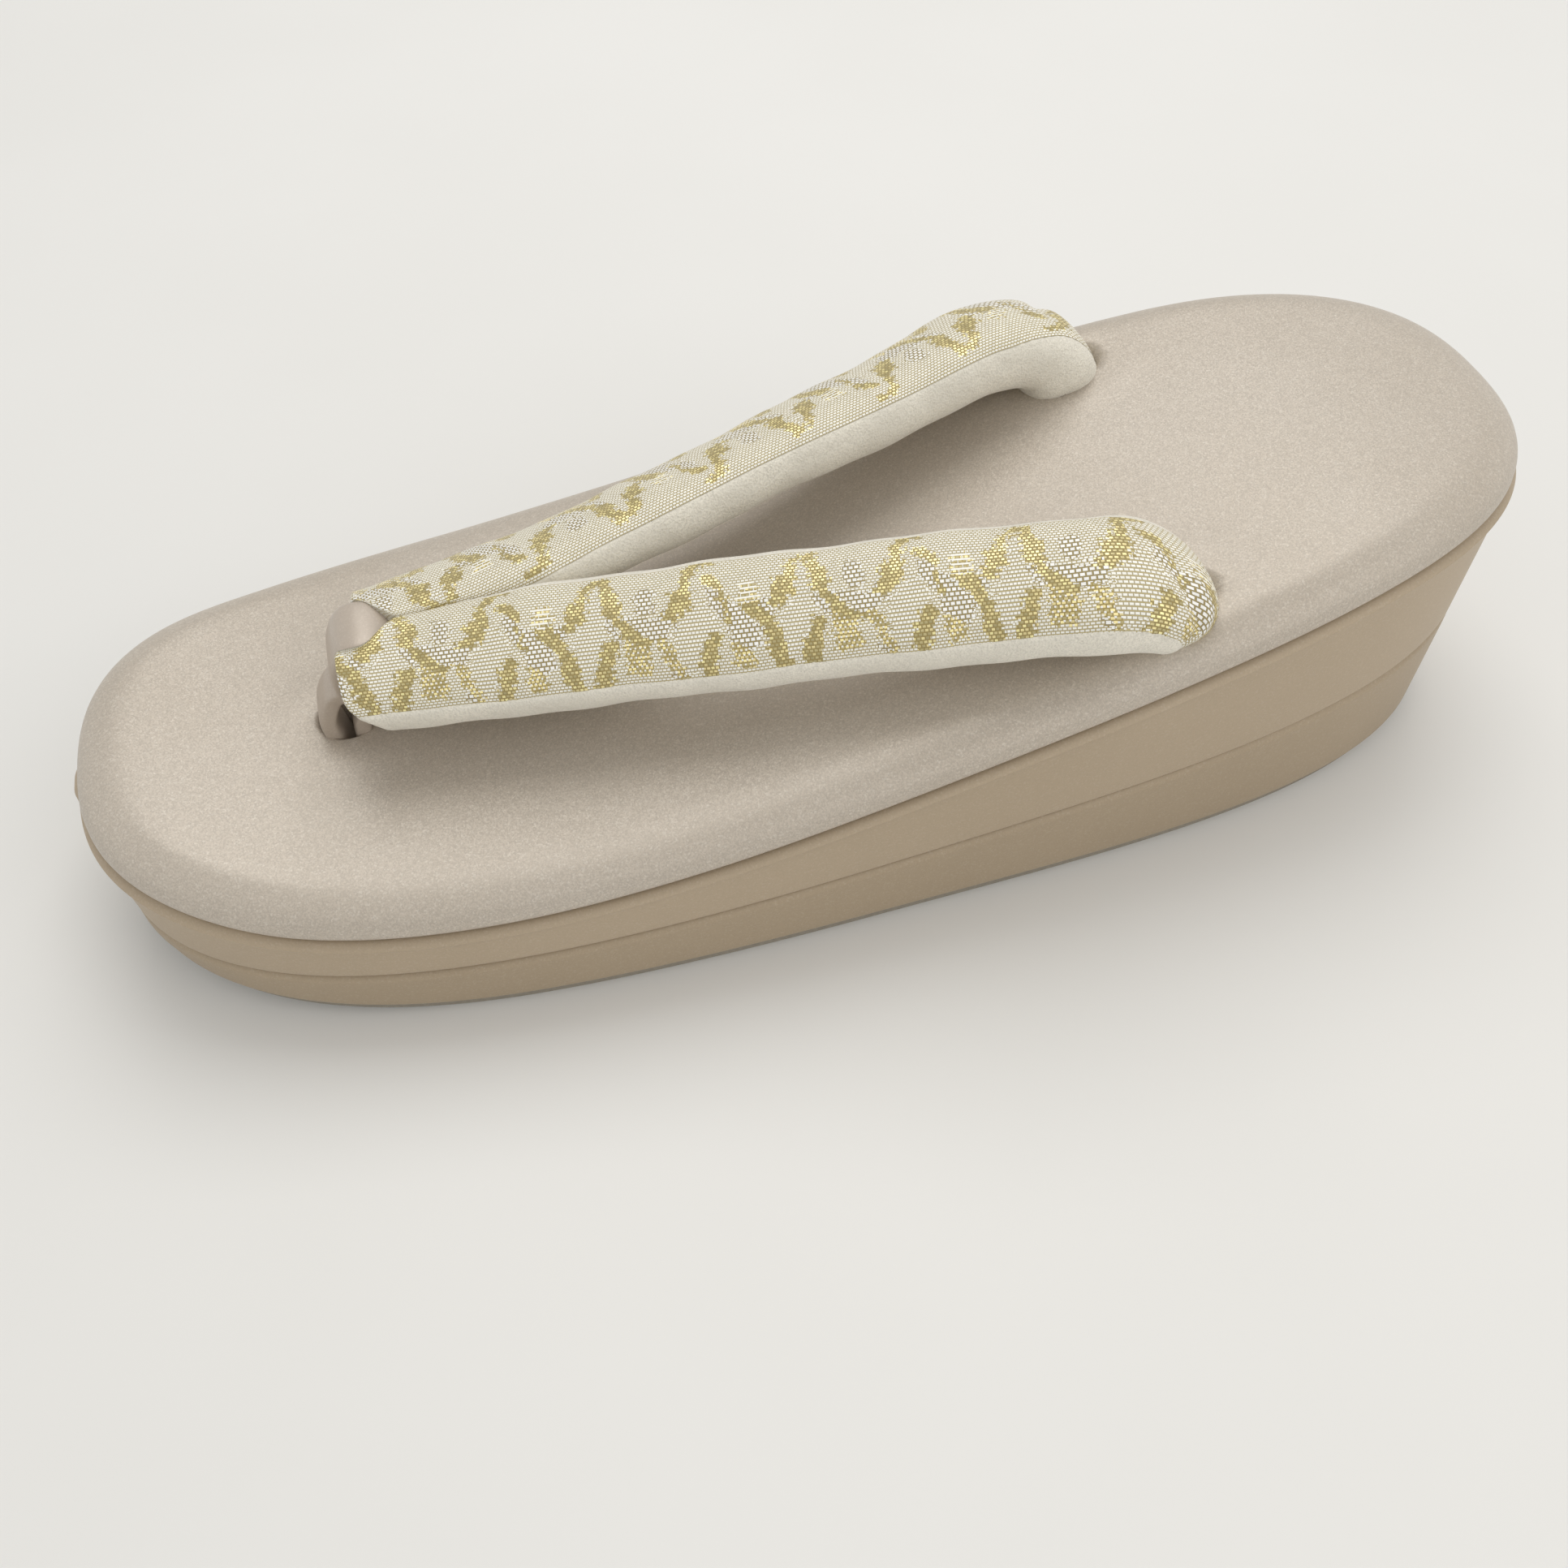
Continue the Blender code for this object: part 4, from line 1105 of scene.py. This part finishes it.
def make_loop(material):
    """Leather band round the joined straps and down into the front hole."""
    places = np.linspace(0.0, len(LOOP_ROWS) - 1, LOOP_STEPS + 1)
    back = catmull(column(LOOP_ROWS, "back"), places) * LOOP_HEIGHT
    rise = catmull(column(LOOP_ROWS, "rise"), places) * LOOP_HEIGHT
    width = 0.5 * LOOP_WIDTH * catmull(column(LOOP_ROWS, "width"), places)
    base = float(pad_top(FRONT_HOLE_ALONG))
    middle = np.stack([np.zeros(len(places)), FRONT_HOLE_ALONG + back, base + rise], axis=1)
    forward = np.gradient(middle, axis=0)
    forward /= np.linalg.norm(forward, axis=1, keepdims=True)
    outward = np.cross([1.0, 0.0, 0.0], forward)
    angle = np.linspace(0.0, 2.0 * math.pi, LOOP_TURN, endpoint=False)
    rings = []
    for index in range(len(places)):
        across, up = section(angle, width[index], 0.5 * LOOP_THICKNESS, LOOP_SQUARENESS)
        rings.append(middle[index] + np.outer(across, [1.0, 0.0, 0.0]) + np.outer(up, outward[index]))
    piece = mesh_piece("toe_loop", rings, caps="ends", sharp=70.0)
    face_outward(piece)
    settle(piece, "front_loop", material)


def make_floor():
    """Plain pale floor."""
    bpy.ops.mesh.primitive_plane_add(size=FLOOR_SIZE, location=(0.0, 0.0, 0.0))
    floor = bpy.context.object
    floor.name = "floor"
    paint = Material("floor_paint")
    cloud = paint.step(paint.noise(paint.place(), 0.12, 3.0), 0.3, 0.7)
    shade = paint.mix(cloud, *FLOOR_TONES)
    paint.set(Base_Color=shade, Roughness=0.5, Specular_IOR_Level=0.25)
    floor.data.materials.append(paint.block)


Lamp = namedtuple("Lamp", "place aim size power colour")
LAMPS = {
    "key": Lamp((-0.45, 0.12, 0.92), (0.0, 0.0, 0.03), 0.75, 4.5, (1.0, 0.985, 0.96)),
    "fill": Lamp((0.70, 0.35, 0.55), (0.0, 0.0, 0.03), 0.90, 2.2, (1.0, 0.97, 0.93)),
}
AMBIENT_COLOUR = (0.955, 0.95, 0.93)
AMBIENT_STRENGTH = 0.50
AMBIENT_ENDS = 0.48


def aim(place, target):
    """Rotation that points an object's -Z at a target."""
    return (Vector(target) - Vector(place)).to_track_quat("-Z", "Y")


def make_lights():
    """Soft studio light from above and behind, with a weak fill and an even surround."""
    for name, lamp in LAMPS.items():
        light = bpy.data.lights.new(name, "AREA")
        light.shape = "SQUARE"
        light.size = lamp.size
        light.energy = lamp.power
        light.color = lamp.colour
        holder = bpy.data.objects.new(name, light)
        holder.location = lamp.place
        holder.rotation_mode = "QUATERNION"
        holder.rotation_quaternion = aim(lamp.place, lamp.aim)
        bpy.context.scene.collection.objects.link(holder)
    world = bpy.data.worlds.new("surround")
    world.use_nodes = True
    nodes = world.node_tree.nodes
    links = world.node_tree.links
    background = nodes["Background"]
    background.inputs["Color"].default_value = (*AMBIENT_COLOUR, 1.0)
    direction = nodes.new("ShaderNodeTexCoord").outputs["Generated"]
    split = nodes.new("ShaderNodeSeparateXYZ")
    links.new(direction, split.inputs[0])
    square = nodes.new("ShaderNodeMath")
    square.operation = "MULTIPLY"
    links.new(split.outputs["Y"], square.inputs[0])
    links.new(split.outputs["Y"], square.inputs[1])
    strength = nodes.new("ShaderNodeMath")
    strength.operation = "MULTIPLY_ADD"
    links.new(square.outputs[0], strength.inputs[0])
    strength.inputs[1].default_value = AMBIENT_ENDS
    strength.inputs[2].default_value = AMBIENT_STRENGTH
    links.new(strength.outputs[0], background.inputs["Strength"])
    bpy.context.scene.world = world


def make_camera():
    """Camera at the photograph's place and angle."""
    azimuth = math.radians(CAMERA_AZIMUTH)
    elevation = math.radians(CAMERA_ELEVATION)
    roll = math.radians(CAMERA_ROLL)
    back = Vector((
        math.sin(azimuth) * math.cos(elevation),
        -math.cos(azimuth) * math.cos(elevation),
        math.sin(elevation),
    ))
    right = Vector((0.0, 0.0, 1.0)).cross(back).normalized()
    up = back.cross(right)
    rolled_right = right * math.cos(roll) + up * math.sin(roll)
    rolled_up = up * math.cos(roll) - right * math.sin(roll)
    data = bpy.data.cameras.new("camera")
    data.sensor_width = CAMERA_SENSOR
    data.lens = CAMERA_LENS
    data.clip_start = 0.01
    camera = bpy.data.objects.new("camera", data)
    camera.matrix_world = (
        Matrix.Translation(CAMERA_PLACE)
        @ Matrix((rolled_right, rolled_up, back)).transposed().to_4x4()
    )
    bpy.context.scene.collection.objects.link(camera)
    bpy.context.scene.camera = camera


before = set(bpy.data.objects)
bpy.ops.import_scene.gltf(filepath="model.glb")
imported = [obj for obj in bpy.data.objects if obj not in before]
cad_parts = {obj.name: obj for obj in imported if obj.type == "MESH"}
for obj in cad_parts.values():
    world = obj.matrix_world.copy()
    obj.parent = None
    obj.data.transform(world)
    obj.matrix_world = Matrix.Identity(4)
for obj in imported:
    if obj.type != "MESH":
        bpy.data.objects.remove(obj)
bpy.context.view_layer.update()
make_camera()
make_lights()
make_floor()
bpy.context.scene.view_settings.view_transform = "Standard"

make_outsole(plain_material("outsole_rubber", RUBBER_COLOUR, 0.8, 0.8 * MM, 0.05 * MM))
make_layers(pearl_leather("side_leather"), pearl_leather("side_leather_painted_shade"))
make_top_pad(pearl_leather("top_leather"))
make_loop(pearl_leather("loop_leather"))
make_straps(brocade_material("brocade"), velvet_material("velvet"))
